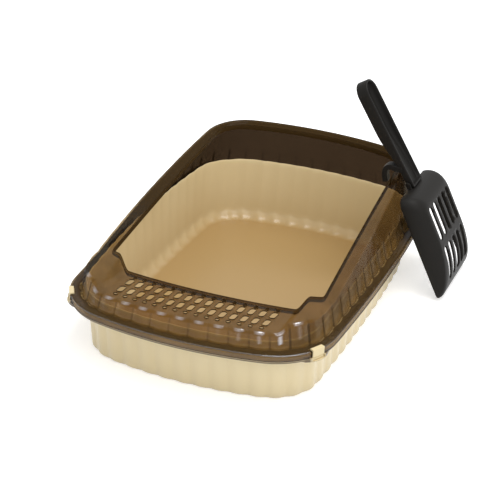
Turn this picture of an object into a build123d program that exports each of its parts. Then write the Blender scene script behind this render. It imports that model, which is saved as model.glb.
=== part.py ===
from build123d import *
from math import cos, radians, sin, sqrt, tan
import os

os.makedirs("parts", exist_ok=True)

# Overall size of the closed box, in millimetres
length = 480.0
width = 320.0
height = 140.0

# Plan shape: how far the ends and the sides bow out, and the corner rounding
end_bow = 30.0
side_bow = 10.7
corner_radius = 77.0
end_arc = ((width / 2) ** 2 + end_bow**2) / (2 * end_bow)
side_arc = ((length / 2) ** 2 + side_bow**2) / (2 * side_bow)

# Flutes round the tray and the cover, counted between the middles of the corners
flutes_per_end = 12
flutes_per_side = 16
flute_depth = 2.0

# Running clearances
wall_clearance = 0.8
skirt_clearance = 0.4
seat_gap = 0.3
window_clearance = 0.5
pin_clearance = 0.1
socket_clearance = 0.15
overrun = 5.0
halvings = 40

# Flange and skirt of the cover
flange_height = 70.7
flange_thickness = 1.8
skirt_drop = 7.5
skirt_wall = 1.8
flange_underside = flange_height - flange_thickness
skirt_bottom = flange_height - skirt_drop

# Leaning wall of the cover
cover_wall = 1.8
cover_foot_inset = 10.4
cover_foot_corner = 72.0
cover_lean = 0.25
flutes_fade_from = 90.0
flutes_fade_to = 96.5
faint_depth = 0.2

# Roof line of the cover: side decks that rise to the back
deck_front_height = 97.3
deck_front_margin = 110.0
deck_front_y = deck_front_margin - length / 2
deck_back_margin = 38.2
deck_back_y = length / 2 - deck_back_margin
deck_run_shares = (0.0, 0.125, 0.25, 0.5, 0.75, 1.0)
deck_drop_shares = (0.0, 0.072, 0.173, 0.416, 0.695, 1.0)
roof_thickness = 1.8

# Front platform with its slots, measured from the front and the sides
platform_height = 84.4
platform_mid_margin = 70.0
platform_mid_y = platform_mid_margin - length / 2
platform_fall = 0.104
platform_side_margin = 61.5
platform_half_width = width / 2 - platform_side_margin
platform_front_side_margin = 56.5
platform_front_half_width = width / 2 - platform_front_side_margin
platform_side_run = 15.0
platform_back_margin = 118.0
platform_back_y = platform_back_margin - length / 2

# Opening of the cover, measured from the ends and the sides
opening_front_margin = 101.9
opening_front_y = opening_front_margin - length / 2
opening_front_bow = 7.8
opening_shoulder_side_margin = 34.5
opening_shoulder_x = width / 2 - opening_shoulder_side_margin
opening_shoulder_margin = 114.2
opening_shoulder_y = opening_shoulder_margin - length / 2
opening_back_side_margin = 43.0
opening_back_x = width / 2 - opening_back_side_margin
opening_back_margin = 38.3
opening_back_y = length / 2 - opening_back_margin
opening_back_bow = 18.0
opening_back_rounding = 38.0
opening_front_rounding = 12.0
lip_wall = 1.8
lip_drop = 6.0

# Slots and round holes of the platform
hole_columns = 15
hole_pitch = 12.1
slot_length = 14.5
slot_width = 6.7
dot_diameter = 5.0
row_bow = 6.2
front_dot_row_margin = 31.4
front_dot_row_y = front_dot_row_margin - length / 2
front_slot_row_margin = 46.2
front_slot_row_y = front_slot_row_margin - length / 2
rear_slot_row_margin = 68.0
rear_slot_row_y = rear_slot_row_margin - length / 2
rear_dot_row_margin = 81.8
rear_dot_row_y = rear_dot_row_margin - length / 2

# Tray
tray_wall = 1.8
tray_floor = 2.2
tray_side_base_inset = 21.0
tray_end_base_inset = 28.3
tray_base_corner = 59.0
floor_edge_radius = 4.0
floor_edge_steps = 3
rim_end_height = 79.0
rim_flat_margin = 40.0
rim_flat_y = length / 2 - rim_flat_margin
rim_side_rise = 8.0
rim_flange_thickness = 2.0
tray_lip_wall = 1.8
tray_lip_reach = 3.6
tray_rim_inset = skirt_wall + skirt_clearance

# Flip latches at the corners, hinged in swellings of the tray's lip
latch_place_share = 0.66
latch_width = 16.0
latch_arm = 5.0
latch_arm_thickness = 4.0
latch_proud = 1.0
latch_leg = 2.8
latch_tongue = 1.4
latch_barrel_radius = 1.6
latch_pin_radius = 0.9
latch_pin_length = 2.0
pivot_inset = 1.6
swelling_half_width = 19.0
swelling_height = 4.0
swelling_reach = 2.6
swelling_root = 4.4
swelling_top = skirt_bottom - 2 * seat_gap
pivot_level = swelling_top - swelling_height / 2
tongue_reach = latch_tongue / 2

# Scoop, hung on the right side deck and leaning inwards
scoop_tilt = 27.0
scoop_margin = 90.0
scoop_y = length / 2 - scoop_margin
scoop_gap = 0.7
blade_wall = 2.0
blade_rim_low = -77.0
blade_rim_high = 54.0
blade_rim_half = 56.0
blade_floor_low = -14.0
blade_floor_high = 32.0
blade_floor_half = 42.0
blade_depth = 26.0
blade_rounding = 12.0
blade_layers = 6
blade_slot_columns = 5
blade_slot_pitch = 16.7
blade_slot_width = 9.5
upper_slot_low = -12.0
upper_slot_high = 31.0
lower_slot_low = -62.0
lower_slot_high = -21.0
tongue_length = 16.0
tongue_half_width = 5.5
tongue_depth = 4.2
neck_foot = 42.0
neck_past_deck = 6.0
neck_below = 2.2
grip_length = 108.0
grip_half_width = 12.0
grip_half_depth = 7.0
grip_channel_wall = 2.4
grip_channel_depth = 5.0
ear_length = 9.0
ear_width = 2.4
ear_depth = 6.0
hook_width = 10.0
hook_thickness = 3.2
hook_drop = 12.0


def wall_inset(level):
    """Inset of the cover's outer wall at one height."""
    return cover_foot_inset + cover_lean * (level - flange_height)


def wall_rounding(inset):
    """Corner rounding of the cover's wall at one inset."""
    return cover_foot_corner + cover_foot_inset - inset


def plan(side_inset, end_inset, rounding):
    """Plan outline: four shallow arcs with rounded corners."""
    with BuildSketch() as outline:
        with Locations((0, end_arc - length / 2)):
            Circle(end_arc - end_inset)
        with Locations((0, length / 2 - end_arc)):
            Circle(end_arc - end_inset, mode=Mode.INTERSECT)
        with Locations((side_arc - width / 2, 0)):
            Circle(side_arc - side_inset, mode=Mode.INTERSECT)
        with Locations((width / 2 - side_arc, 0)):
            Circle(side_arc - side_inset, mode=Mode.INTERSECT)
        fillet(outline.vertices(), radius=rounding)
    return outline.sketch


def stations(side_inset, end_inset, rounding):
    """Points of one quarter of the outline, two for each flute, from the front to the side."""
    edges = plan(side_inset, end_inset, rounding).edges()
    front = edges.sort_by(Axis.Y)[0]
    side = edges.sort_by(Axis.X)[-1]
    corner = edges.filter_by(lambda e: e.center().X > 0 and e.center().Y < 0)
    corner = corner.sort_by(Edge.length)[0]
    if corner.position_at(0).Y > corner.position_at(1).Y:
        corner = corner.reversed()
    runs = (front.length / 2, corner.length, side.length / 2)
    end_run = runs[0] + runs[1] / 2
    side_run = runs[1] / 2 + runs[2]
    points = []
    for k in range(flutes_per_end + flutes_per_side + 1):
        if k <= flutes_per_end:
            s = end_run * k / flutes_per_end
        else:
            s = end_run + side_run * (k - flutes_per_end) / flutes_per_side
        if s < runs[0]:
            p = front.position_at(s / front.length + 1 / 2)
        elif s < runs[0] + runs[1]:
            p = corner.position_at((s - runs[0]) / runs[1])
        else:
            p = side.position_at((runs[0] + runs[1] + runs[2] - s) / side.length + 1 / 2)
        points.append((abs(p.X), -abs(p.Y)))
    return points


def all_round(quarter):
    """The quarter's points carried round all four quarters."""
    back = [(x, -y) for x, y in quarter[-2::-1]]
    half = quarter + back
    return half + [(-x, y) for x, y in half[-2:0:-1]]


def fluted(level, side_inset, end_inset, rounding, depth=flute_depth):
    """Fluted outline at one height: an outward arc for each flute."""
    crests = all_round(stations(side_inset, end_inset, rounding))
    deep = (side_inset + depth, end_inset + depth, rounding - depth)
    grooves = all_round(stations(*deep))
    with BuildSketch(Plane.XY.offset(level)) as face:
        with BuildLine():
            for k in range(0, len(crests), 2):
                ahead = grooves[(k + 1) % len(grooves)]
                ThreePointArc(grooves[k - 1], crests[k], ahead)
        make_face()
    return face.sketch


def tray_section(level, more):
    """Fluted outline of the tray at one height, drawn in by a further amount."""
    share = level / (rim_end_height + rim_side_rise)
    top = wall_inset(rim_end_height + rim_side_rise) + cover_wall + wall_clearance
    end_top = wall_inset(rim_end_height) + cover_wall + wall_clearance
    end_share = level / rim_end_height
    side_inset = tray_side_base_inset + (top - tray_side_base_inset) * share
    end_inset = tray_end_base_inset + (end_top - tray_end_base_inset) * end_share
    rounding = tray_base_corner + (wall_rounding(top) - tray_base_corner) * share
    return fluted(level, side_inset + more, end_inset + more, rounding - more)


def floor_steps(radius, bottom):
    """Heights and extra insets down a rounded floor edge."""
    steps = []
    for k in range(floor_edge_steps + 1):
        a = radians(90) * k / floor_edge_steps
        steps.append((bottom + radius * (1 - cos(a)), radius * (1 - sin(a))))
    return steps


def cover_section(level, more, depth=flute_depth):
    """Outline of the cover's wall at one height, drawn in by a further amount."""
    inset = wall_inset(level) + more
    return fluted(level, inset, inset, wall_rounding(inset), depth)


def roof_sky(drop):
    """Everything above the side decks, lowered by the given drop."""
    run = deck_back_y - deck_front_y
    fall = height - deck_front_height
    line = [
        (deck_back_y - run * a, height - fall * b - drop)
        for a, b in zip(deck_run_shares, deck_drop_shares)
    ]
    with BuildPart() as sky:
        with BuildSketch(Plane.YZ):
            with BuildLine():
                rise = Spline(line)
                top = height + overrun
                Polyline(
                    rise @ 1,
                    (-length / 2 - overrun, deck_front_height - drop),
                    (-length / 2 - overrun, top),
                    (length / 2 + overrun, top),
                    (length / 2 + overrun, height - drop),
                    rise @ 0,
                )
            make_face()
        extrude(amount=width / 2 + overrun, both=True)
    return sky.part


def platform_level(y):
    """Height of the front platform at one place."""
    return platform_height - platform_fall * (y - platform_mid_y)


def platform_trough(drop):
    """Everything above the front platform and its sloping sides."""
    with BuildPart() as trough:
        for y, half in ((platform_back_y, platform_half_width), (-length / 2, platform_front_half_width)):
            base = platform_level(y) - drop
            shoulder = deck_front_height - drop
            with BuildSketch(Plane.XZ.offset(-y)):
                with BuildLine():
                    Polyline(
                        (-half, base),
                        (half, base),
                        (half + platform_side_run, shoulder),
                        (half + platform_side_run, height),
                        (-half - platform_side_run, height),
                        (-half - platform_side_run, shoulder),
                        close=True,
                    )
                make_face()
        loft(ruled=True)
    return trough.part


def opening_plan(more):
    """Plan outline of the opening, widened by a further amount."""
    with BuildSketch() as outline:
        with BuildLine():
            Polyline(
                (-platform_half_width, opening_front_y),
                (-opening_shoulder_x, opening_shoulder_y),
                (-opening_back_x, opening_back_y - opening_back_bow),
            )
            Polyline(
                (platform_half_width, opening_front_y),
                (opening_shoulder_x, opening_shoulder_y),
                (opening_back_x, opening_back_y - opening_back_bow),
            )
            ThreePointArc(
                (-platform_half_width, opening_front_y),
                (0, opening_front_y - opening_front_bow),
                (platform_half_width, opening_front_y),
            )
            ThreePointArc(
                (-opening_back_x, opening_back_y - opening_back_bow),
                (0, opening_back_y),
                (opening_back_x, opening_back_y - opening_back_bow),
            )
        make_face()
        fillet(outline.vertices().group_by(Axis.Y)[-1], radius=opening_back_rounding)
        fillet(outline.vertices().group_by(Axis.Y)[0], radius=opening_front_rounding)
        if more:
            offset(amount=more)
    return outline.sketch


def deck_level(y):
    """Height of the side deck at one place along the box."""
    run = deck_back_y - deck_front_y
    fall = height - deck_front_height
    places = [deck_back_y - run * a for a in deck_run_shares]
    levels = [height - fall * b for b in deck_drop_shares]
    line = Edge.make_spline([Vector(p, q) for p, q in zip(places, levels)])
    low, high = 0, 1
    for _ in range(halvings):
        middle = (low + high) / 2
        if line.position_at(middle).X > y:
            low = middle
        else:
            high = middle
    return line.position_at(middle).Y


def corner_plane(level):
    """Plane across the front right corner: outward, upward and along the rim."""
    edges = plan(0, 0, corner_radius).edges()
    corner = edges.filter_by(lambda e: e.center().X > 0 and e.center().Y < 0)
    corner = corner.sort_by(Edge.length)[0]
    if corner.position_at(0).Y > corner.position_at(1).Y:
        corner = corner.reversed()
    place = corner.position_at(latch_place_share)
    centre = corner.arc_center
    outward = (place - centre).normalized()
    origin = Vector(place.X, place.Y, level)
    return Plane(origin=origin, x_dir=outward, z_dir=outward.cross(Vector(0, 0, 1)))


def four_corners(solid):
    """One corner's solid and its three mirror images."""
    right = [solid, mirror(solid, about=Plane.XZ)]
    return right + [mirror(piece, about=Plane.YZ) for piece in right]


rim_crown = rim_end_height + rim_side_rise
window_half = latch_width / 2 + window_clearance

# Swelling of the tray's lip, with the recess and pin holes of one latch
with BuildPart() as swelling:
    with BuildSketch(Plane.XY.offset(swelling_top - swelling_height)) as lens:
        across = corner_plane(0)
        flat = Plane(origin=across.origin, x_dir=across.x_dir, z_dir=(0, 0, 1))
        sides = (-swelling_half_width, swelling_half_width)
        ends = [flat.from_local_coords((-swelling_root, t, 0)) for t in sides]
        crest = flat.from_local_coords((swelling_reach, 0, 0))
        with BuildLine():
            ThreePointArc(ends[0], crest, ends[1])
            Line(ends[1], ends[0])
        make_face()
    extrude(amount=swelling_height)

with BuildPart() as recess:
    with BuildSketch(corner_plane(pivot_level)):
        with Locations((-pivot_inset, 0)):
            Circle(latch_barrel_radius + window_clearance)
        recess_back = -pivot_inset - latch_barrel_radius - window_clearance
        with Locations((recess_back, -tongue_reach - window_clearance)):
            Rectangle(
                swelling_root + swelling_reach + overrun,
                tongue_reach + swelling_height,
                align=(Align.MIN, Align.MIN),
            )
    extrude(amount=window_half, both=True)
    with BuildSketch(corner_plane(pivot_level)):
        with Locations((-pivot_inset, 0)):
            Circle(latch_pin_radius + pin_clearance)
    extrude(amount=window_half + latch_pin_length + window_clearance, both=True)

with BuildPart() as tray:
    steps = floor_steps(floor_edge_radius, 0)
    loft([tray_section(z, more) for z, more in steps] + [tray_section(rim_crown, 0)], ruled=True, clean=False)
    with BuildSketch(Plane.YZ):
        with BuildLine():
            crown = ThreePointArc(
                (-rim_flat_y, rim_end_height), (0, rim_crown), (rim_flat_y, rim_end_height)
            )
            Polyline(
                crown @ 1,
                (length / 2, rim_end_height),
                (length / 2, rim_crown + overrun),
                (-length / 2, rim_crown + overrun),
                (-length / 2, rim_end_height),
                crown @ 0,
            )
        make_face()
    extrude(amount=width / 2, both=True, mode=Mode.SUBTRACT)
    with BuildSketch(Plane.XY.offset(flange_underside - rim_flange_thickness)):
        add(plan(tray_rim_inset, tray_rim_inset, corner_radius - tray_rim_inset))
    extrude(amount=rim_flange_thickness)
    with BuildSketch(Plane.XY.offset(skirt_bottom - tray_lip_reach)):
        add(plan(tray_rim_inset, tray_rim_inset, corner_radius - tray_rim_inset))
        lip_inset = tray_rim_inset + tray_lip_wall
        add(plan(lip_inset, lip_inset, corner_radius - lip_inset), mode=Mode.SUBTRACT)
    extrude(amount=flange_underside - rim_flange_thickness - skirt_bottom + tray_lip_reach)
    add(four_corners(swelling.part))
    add(four_corners(recess.part), mode=Mode.SUBTRACT)
    steps = floor_steps(floor_edge_radius, tray_floor)
    steps += [(rim_crown + overrun, 0)]
    hollow = [tray_section(z, tray_wall + more) for z, more in steps]
    loft(hollow, ruled=True, clean=False, mode=Mode.SUBTRACT)
tray.part.label = "tray"
export_step(tray.part, "parts/tray.step")

# Window of the cover's flange and skirt for one latch
with BuildPart() as window:
    with BuildSketch(corner_plane(flange_height)):
        with Locations((-latch_arm - window_clearance, 0)):
            Rectangle(
                latch_arm + window_clearance + overrun,
                2 * (skirt_drop + window_clearance),
                align=(Align.MIN, Align.CENTER),
            )
    extrude(amount=window_half, both=True)

# Ring that turns down round the opening
with BuildPart() as opening_lip:
    with BuildSketch(Plane.XY.offset(flange_height)):
        add(opening_plan(lip_wall))
        add(opening_plan(0), mode=Mode.SUBTRACT)
    extrude(amount=height - flange_height)
    add(roof_sky(0), mode=Mode.SUBTRACT)
    add(platform_trough(0), mode=Mode.SUBTRACT)
    with BuildPart(mode=Mode.PRIVATE) as above:
        add(roof_sky(lip_drop))
        add(platform_trough(lip_drop))
    add(above.part, mode=Mode.INTERSECT)

with BuildPart() as void:
    levels = ((flange_underside - overrun, flute_depth), (flutes_fade_from, flute_depth))
    levels += ((flutes_fade_to, faint_depth), (height + overrun, faint_depth))
    loft([cover_section(z, cover_wall, d) for z, d in levels], ruled=True, clean=False)
    add(roof_sky(roof_thickness), mode=Mode.SUBTRACT)
    add(platform_trough(roof_thickness), mode=Mode.SUBTRACT)

with BuildPart() as cover:
    levels = ((flange_underside, flute_depth), (flutes_fade_from, flute_depth))
    levels += ((flutes_fade_to, faint_depth), (height + overrun, faint_depth))
    loft([cover_section(z, 0, d) for z, d in levels], ruled=True, clean=False)
    add(roof_sky(0), mode=Mode.SUBTRACT)
    add(platform_trough(0), mode=Mode.SUBTRACT)
    with BuildSketch(Plane.XY.offset(flange_underside)):
        add(plan(0, 0, corner_radius))
    extrude(amount=flange_thickness)
    with BuildSketch(Plane.XY.offset(skirt_bottom)):
        add(plan(0, 0, corner_radius))
        add(plan(skirt_wall, skirt_wall, corner_radius - skirt_wall), mode=Mode.SUBTRACT)
    extrude(amount=skirt_drop - flange_thickness)
    add(void.part, mode=Mode.SUBTRACT)
    with BuildSketch(Plane.XY.offset(flange_height)):
        add(opening_plan(0))
    extrude(amount=height, mode=Mode.SUBTRACT)
    add(opening_lip.part)
    add(four_corners(window.part), mode=Mode.SUBTRACT)
    edge_x = hole_pitch * (hole_columns - 1) / 2
    with BuildSketch(Plane.XY.offset(flange_height)):
        for k in range(hole_columns):
            x = hole_pitch * k - edge_x
            shift = row_bow * (x / edge_x) ** 2
            with Locations((x, front_slot_row_y + shift), (x, rear_slot_row_y + shift)):
                SlotOverall(slot_length, slot_width, rotation=90)
            with Locations((x, front_dot_row_y + shift), (x, rear_dot_row_y + shift)):
                Circle(dot_diameter / 2)
    extrude(amount=height, mode=Mode.SUBTRACT)
cover.part.label = "cover"
export_step(cover.part, "parts/cover.step")

# One latch: top arm, leg, hinge barrel and its two pins
with BuildPart() as latch:
    arm_bottom = flange_underside + seat_gap - pivot_level
    arm_top = arm_bottom + latch_arm_thickness
    leg_bottom = skirt_bottom - pivot_level
    with BuildSketch(corner_plane(pivot_level)):
        with BuildLine():
            Polyline(
                (tongue_reach - pivot_inset, 0),
                (tongue_reach - pivot_inset, leg_bottom),
                (latch_proud, leg_bottom),
                (latch_proud, arm_top),
                (-latch_arm, arm_top),
                (-latch_arm, arm_bottom),
                (latch_proud - latch_leg, arm_bottom),
                (-tongue_reach - pivot_inset, leg_bottom),
                (-tongue_reach - pivot_inset, 0),
                close=True,
            )
        make_face()
        with Locations((-pivot_inset, 0)):
            Circle(latch_barrel_radius)
    extrude(amount=latch_width / 2, both=True)
    with BuildSketch(corner_plane(pivot_level)):
        with Locations((-pivot_inset, 0)):
            Circle(latch_pin_radius)
    extrude(amount=latch_width / 2 + latch_pin_length, both=True)

latches = four_corners(latch.part)
for piece, name in zip(latches, ("front_right", "back_right", "front_left", "back_left")):
    piece.label = "latch_" + name
    export_step(piece, "parts/latch_" + name + ".step")

# Deck edge that the scoop leans on
lean_y = scoop_y + grip_half_width
lean_level = deck_level(lean_y)
side_sag = side_arc - sqrt(side_arc**2 - lean_y**2)
lean_x = width / 2 - side_sag - wall_inset(lean_level)

# Axes of the leaning scoop: along the handle, and out of the box
along = Vector(-sin(radians(scoop_tilt)), 0, cos(radians(scoop_tilt)))
outward = Vector(cos(radians(scoop_tilt)), 0, sin(radians(scoop_tilt)))
stand_off = (neck_below + scoop_gap) / cos(radians(scoop_tilt))
origin_x = lean_x + (lean_level - flange_height) * tan(radians(scoop_tilt)) + stand_off
scoop_origin = Vector(origin_x, scoop_y, flange_height)
side_view = Plane(origin=scoop_origin, x_dir=along, z_dir=(0, 1, 0))
lean_place = Vector(lean_x, scoop_y, lean_level) - scoop_origin
neck_end = lean_place.dot(along) + neck_past_deck
grip_end = neck_end + grip_length


def blade_layer(share, more):
    """Rounded outline of the blade at one share of its depth, grown by a further amount."""
    run = 1 - sqrt(1 - share**2)
    low = blade_rim_low + (blade_floor_low - blade_rim_low) * run - more
    high = blade_rim_high + (blade_floor_high - blade_rim_high) * run + more
    half = blade_rim_half + (blade_floor_half - blade_rim_half) * run + more
    depth = (blade_depth + more) * share
    with BuildSketch(Plane(origin=scoop_origin + outward * depth, x_dir=along, z_dir=outward)) as layer:
        with Locations(((low + high) / 2, 0)):
            RectangleRounded(high - low, 2 * half, blade_rounding)
    return layer.sketch


def blade_form(more):
    """Solid form of the blade between its rim and its floor, grown by a further amount."""
    shares = [sin(radians(90) * k / blade_layers) for k in range(blade_layers + 1)]
    with BuildPart() as form:
        loft([blade_layer(share, more) for share in shares], ruled=True)
    return form.part


with BuildPart() as blade:
    add(blade_form(0))
    add(blade_form(-blade_wall), mode=Mode.SUBTRACT)
    with BuildSketch(Plane(origin=scoop_origin, x_dir=along, z_dir=outward)):
        for k in range(blade_slot_columns):
            w = blade_slot_pitch * (k - (blade_slot_columns - 1) / 2)
            for low, high in ((upper_slot_low, upper_slot_high), (lower_slot_low, lower_slot_high)):
                with Locations(((low + high) / 2, w)):
                    SlotOverall(high - low, blade_slot_width)
    extrude(amount=blade_depth + overrun, mode=Mode.SUBTRACT)
    with BuildSketch(side_view):
        with Locations((blade_rim_high - blade_wall, 0)):
            Rectangle(tongue_length + blade_wall, tongue_depth, align=(Align.MIN, Align.MIN))
    extrude(amount=tongue_half_width, both=True)
    for side in (-1, 1):
        ear_place = side * (grip_half_width + socket_clearance + ear_width / 2)
        ear_origin = side_view.origin + Vector(0, ear_place, 0)
        with BuildSketch(Plane(origin=ear_origin, x_dir=along, z_dir=(0, 1, 0))):
            with Locations((blade_rim_high - blade_wall, 0)):
                Rectangle(ear_length + blade_wall, ear_depth, align=(Align.MIN, Align.MIN))
        extrude(amount=ear_width / 2, both=True)
blade.part.label = "scoop_blade"
export_step(blade.part, "parts/scoop_blade.step")

seat_y = scoop_y + hook_width / 2
hook_bottom = deck_level(seat_y) + seat_gap
side_fall = (opening_shoulder_x - opening_back_x) / (opening_back_y - opening_back_bow - opening_shoulder_y)
hook_outer = opening_shoulder_x - side_fall * (seat_y - opening_shoulder_y) - window_clearance

with BuildPart() as handle:
    face = Plane(origin=scoop_origin - outward * grip_half_depth, x_dir=along, z_dir=outward)
    with BuildSketch(face):
        with Locations(((neck_foot + grip_end) / 2, 0)):
            SlotOverall(grip_end - neck_foot, 2 * grip_half_width)
    extrude(amount=2 * grip_half_depth)
    with BuildSketch(side_view):
        with Locations((neck_foot, -neck_below)):
            Rectangle(neck_end - neck_foot, grip_half_depth, align=(Align.MIN, Align.MAX))
    extrude(amount=grip_half_width, both=True, mode=Mode.SUBTRACT)
    with BuildSketch(face.offset(2 * grip_half_depth - grip_channel_depth)):
        with Locations(((neck_end + grip_end) / 2, 0)):
            channel_length = grip_end - neck_end - 2 * grip_channel_wall
            SlotOverall(channel_length, 2 * (grip_half_width - grip_channel_wall))
    extrude(amount=grip_channel_depth, mode=Mode.SUBTRACT)
    add(blade_form(seat_gap), mode=Mode.SUBTRACT)
    with BuildSketch(Plane(origin=(0, scoop_y, 0), x_dir=(1, 0, 0), z_dir=(0, -1, 0))):
        u = (hook_bottom + hook_thickness - flange_height) / cos(radians(scoop_tilt))
        neck_x = origin_x - u * sin(radians(scoop_tilt))
        with BuildLine():
            Polyline(
                (neck_x, hook_bottom + hook_thickness),
                (neck_x, hook_bottom),
                (hook_outer, hook_bottom),
                (hook_outer, hook_bottom - hook_drop),
                (hook_outer - hook_thickness, hook_bottom - hook_drop),
                (hook_outer - hook_thickness, hook_bottom + hook_thickness),
                close=True,
            )
        make_face()
    extrude(amount=hook_width / 2, both=True)
    with BuildSketch(side_view):
        with Locations((neck_foot, -socket_clearance)):
            Rectangle(
                blade_rim_high + tongue_length + socket_clearance - neck_foot,
                tongue_depth + 2 * socket_clearance,
                align=(Align.MIN, Align.MIN),
            )
    extrude(amount=tongue_half_width + socket_clearance, both=True, mode=Mode.SUBTRACT)
handle.part.label = "scoop_handle"
export_step(handle.part, "parts/scoop_handle.step")
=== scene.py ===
# %% [markdown]
# # A semi-enclosed litter box
# A pet litter box is two thin mouldings stacked one on the other. A pale tray holds the litter, and a smoked
# see-through cover stands on its rim and keeps the litter in. Four clips hold the cover down at the corners,
# and a slotted scoop hangs with its handle leaning over one side. Such walls could be pushed and pulled from
# boxes by hand, but their flutes repeat and their curves are plain arcs. So the cells below work each piece
# out as a grid of points from a formula, and give each a finish that follows how it was moulded.

# %% Setup
import math

import bpy
import numpy as np
from mathutils import Matrix, Vector


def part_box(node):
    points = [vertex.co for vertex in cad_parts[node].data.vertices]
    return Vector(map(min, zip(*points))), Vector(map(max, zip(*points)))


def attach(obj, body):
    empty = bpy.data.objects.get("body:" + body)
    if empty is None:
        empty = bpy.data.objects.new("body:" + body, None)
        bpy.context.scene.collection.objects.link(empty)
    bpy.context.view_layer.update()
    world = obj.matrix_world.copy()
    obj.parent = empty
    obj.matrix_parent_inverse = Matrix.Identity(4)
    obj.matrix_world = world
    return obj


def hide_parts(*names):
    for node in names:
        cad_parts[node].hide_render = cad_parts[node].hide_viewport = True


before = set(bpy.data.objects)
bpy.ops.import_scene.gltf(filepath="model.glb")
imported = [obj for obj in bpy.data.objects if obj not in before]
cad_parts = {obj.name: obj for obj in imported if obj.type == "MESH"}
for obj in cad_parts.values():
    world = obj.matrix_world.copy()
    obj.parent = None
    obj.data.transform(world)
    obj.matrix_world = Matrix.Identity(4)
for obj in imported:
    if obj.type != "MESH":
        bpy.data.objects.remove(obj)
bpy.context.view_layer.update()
MM = 0.001
print("frame loaded:", sorted(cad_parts))

# %% [markdown]
# Every length below is in millimetres and is turned to metres once, when a mesh is made. The outer sizes are
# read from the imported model, so the dressed pieces keep the size of the solids that they stand for.

# %% Sizes
cover_low, cover_high = (np.array(corner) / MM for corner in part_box("cover"))
WIDTH = cover_high[0] - cover_low[0]
LENGTH = cover_high[1] - cover_low[1]
HEIGHT = cover_high[2]
SKIRT_BOTTOM, SKIRT_HEIGHT = cover_low[2], 7.5
FLANGE = SKIRT_BOTTOM + SKIRT_HEIGHT
WALL = 1.8
print("cover", round(WIDTH), "x", round(LENGTH), "mm, top at", round(HEIGHT))

# %% [markdown]
# A moulding's surface is one sheet, so each large piece is one grid: the first direction walks along a profile
# and the second goes round the box. Joining the last column to the first closes the seam, and a flat cap closes
# a pole. A sheet with a Solidify modifier would be shorter, but its inner side couldn't have its own shape.


# %% Grid helper
def inside_out(points, faces):
    """Tells whether four-cornered faces point inwards: the volume under them, summed, is then negative."""
    a, b, c, d = (points[faces[:, k]] - points.mean(axis=0) for k in range(4))
    return np.einsum("ij,ij->", a, np.cross(b, c)) + np.einsum("ij,ij->", a, np.cross(c, d)) < 0


def added(name, mesh):
    """Puts a mesh into the scene as an object at the origin."""
    made = bpy.data.objects.new(name, mesh)
    bpy.context.scene.collection.objects.link(made)
    return made


def surface(name, points, caps=(), ring=False, shades=None):
    """Makes a mesh from a (rows, columns, 3) grid in millimetres, whose columns close on themselves.

    caps lists the rows, 0 or -1, that end in a flat face. ring joins the last row to the first. shades maps the
    name of a point attribute to its (rows, columns) values.
    """
    rows, columns, _ = points.shape
    index = np.arange(rows * columns).reshape(rows, columns)
    down = np.roll(index, -1, axis=0) if ring else index[1:]
    here = index if ring else index[:-1]
    across = np.roll(here, -1, axis=1)
    corners = np.stack([here, across, np.roll(down, -1, axis=1), down], axis=-1).reshape(-1, 4)
    faces = corners.tolist()
    if 0 in caps:
        faces.append(index[0, ::-1].tolist())
    if -1 in caps:
        faces.append(index[-1].tolist())
    mesh = bpy.data.meshes.new(name)
    mesh.from_pydata((points.reshape(-1, 3) * MM).tolist(), [], faces)
    if inside_out(points.reshape(-1, 3), corners):
        mesh.flip_normals()
    mesh.polygons.foreach_set("use_smooth", [True] * len(mesh.polygons))
    for label, values in (shades or {}).items():
        mesh.attributes.new(label, "FLOAT", "POINT").data.foreach_set("value", values.ravel())
    mesh.update()
    print(name, len(mesh.vertices), "points")
    return added(name, mesh)


# %% [markdown]
# A finish is a small tree of nodes. It could be wired by hand in the shader editor, but a script gives the same
# finish each time. One helper turns a hex colour to the linear light that a shader wants, and one adds a node
# with its settings, values and links.


# %% Finish helpers
def linear(code):
    """Linear (r, g, b, 1) of an sRGB hex colour: a straight line near black, and a power of 2.4 above it."""
    values = [int(code[i : i + 2], 16) / 255 for i in (1, 3, 5)]
    return tuple(v / 12.92 if v <= 0.04045 else ((v + 0.055) / 1.055) ** 2.4 for v in values) + (1.0,)


def node(tree, kind, settings=None, inputs=None, links=None):
    """Adds a node with its settings and input values, and links its inputs from (node, output) pairs."""
    made = tree.nodes.new(kind)
    for name, value in (settings or {}).items():
        setattr(made, name, value)
    for name, value in (inputs or {}).items():
        made.inputs[name].default_value = value
    for name, (source, output) in (links or {}).items():
        tree.links.new(source.outputs[output], made.inputs[name])
    return made


def material(name):
    """Starts an empty material and returns it with its node tree and output node."""
    made = bpy.data.materials.new(name)
    made.use_nodes = True
    made.node_tree.nodes.clear()
    return made, made.node_tree, made.node_tree.nodes.new("ShaderNodeOutputMaterial")


COLOURS = {"data_type": "RGBA"}
ADD = {"operation": "ADD", "use_clamp": True}
# Polypropylene's index of refraction, and nearly acetal's.
PLASTIC_IOR = 1.49
print("a half grey gives", round(linear("#808080")[0], 2), "of white's light")

# %% [markdown]
# The tray, the clips and the scoop are opaque mouldings. One flat colour would look like paint, so the colour
# drifts softly between two close shades, as pigment does where the melt has flowed, and the skin has the satin
# grain of the mould. A picture of plastic would have to be unwrapped onto each piece, while noise on object
# coordinates lies on every piece at its real size.

# %% Moulded finish
# The drift of the colour is taken to be about as wide as a hand.
FLOW_SIZE = 83.3 * MM
# The real grain is about a tenth of a millimetre wide. That is too fine to show, so it is drawn coarser.
GRAIN_SIZE, GRAIN_DEPTH = 1.4 * MM, 0.2 * MM
print("colour drift", FLOW_SIZE / MM, "mm wide, grain", round(GRAIN_SIZE / MM, 1), "mm")


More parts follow.
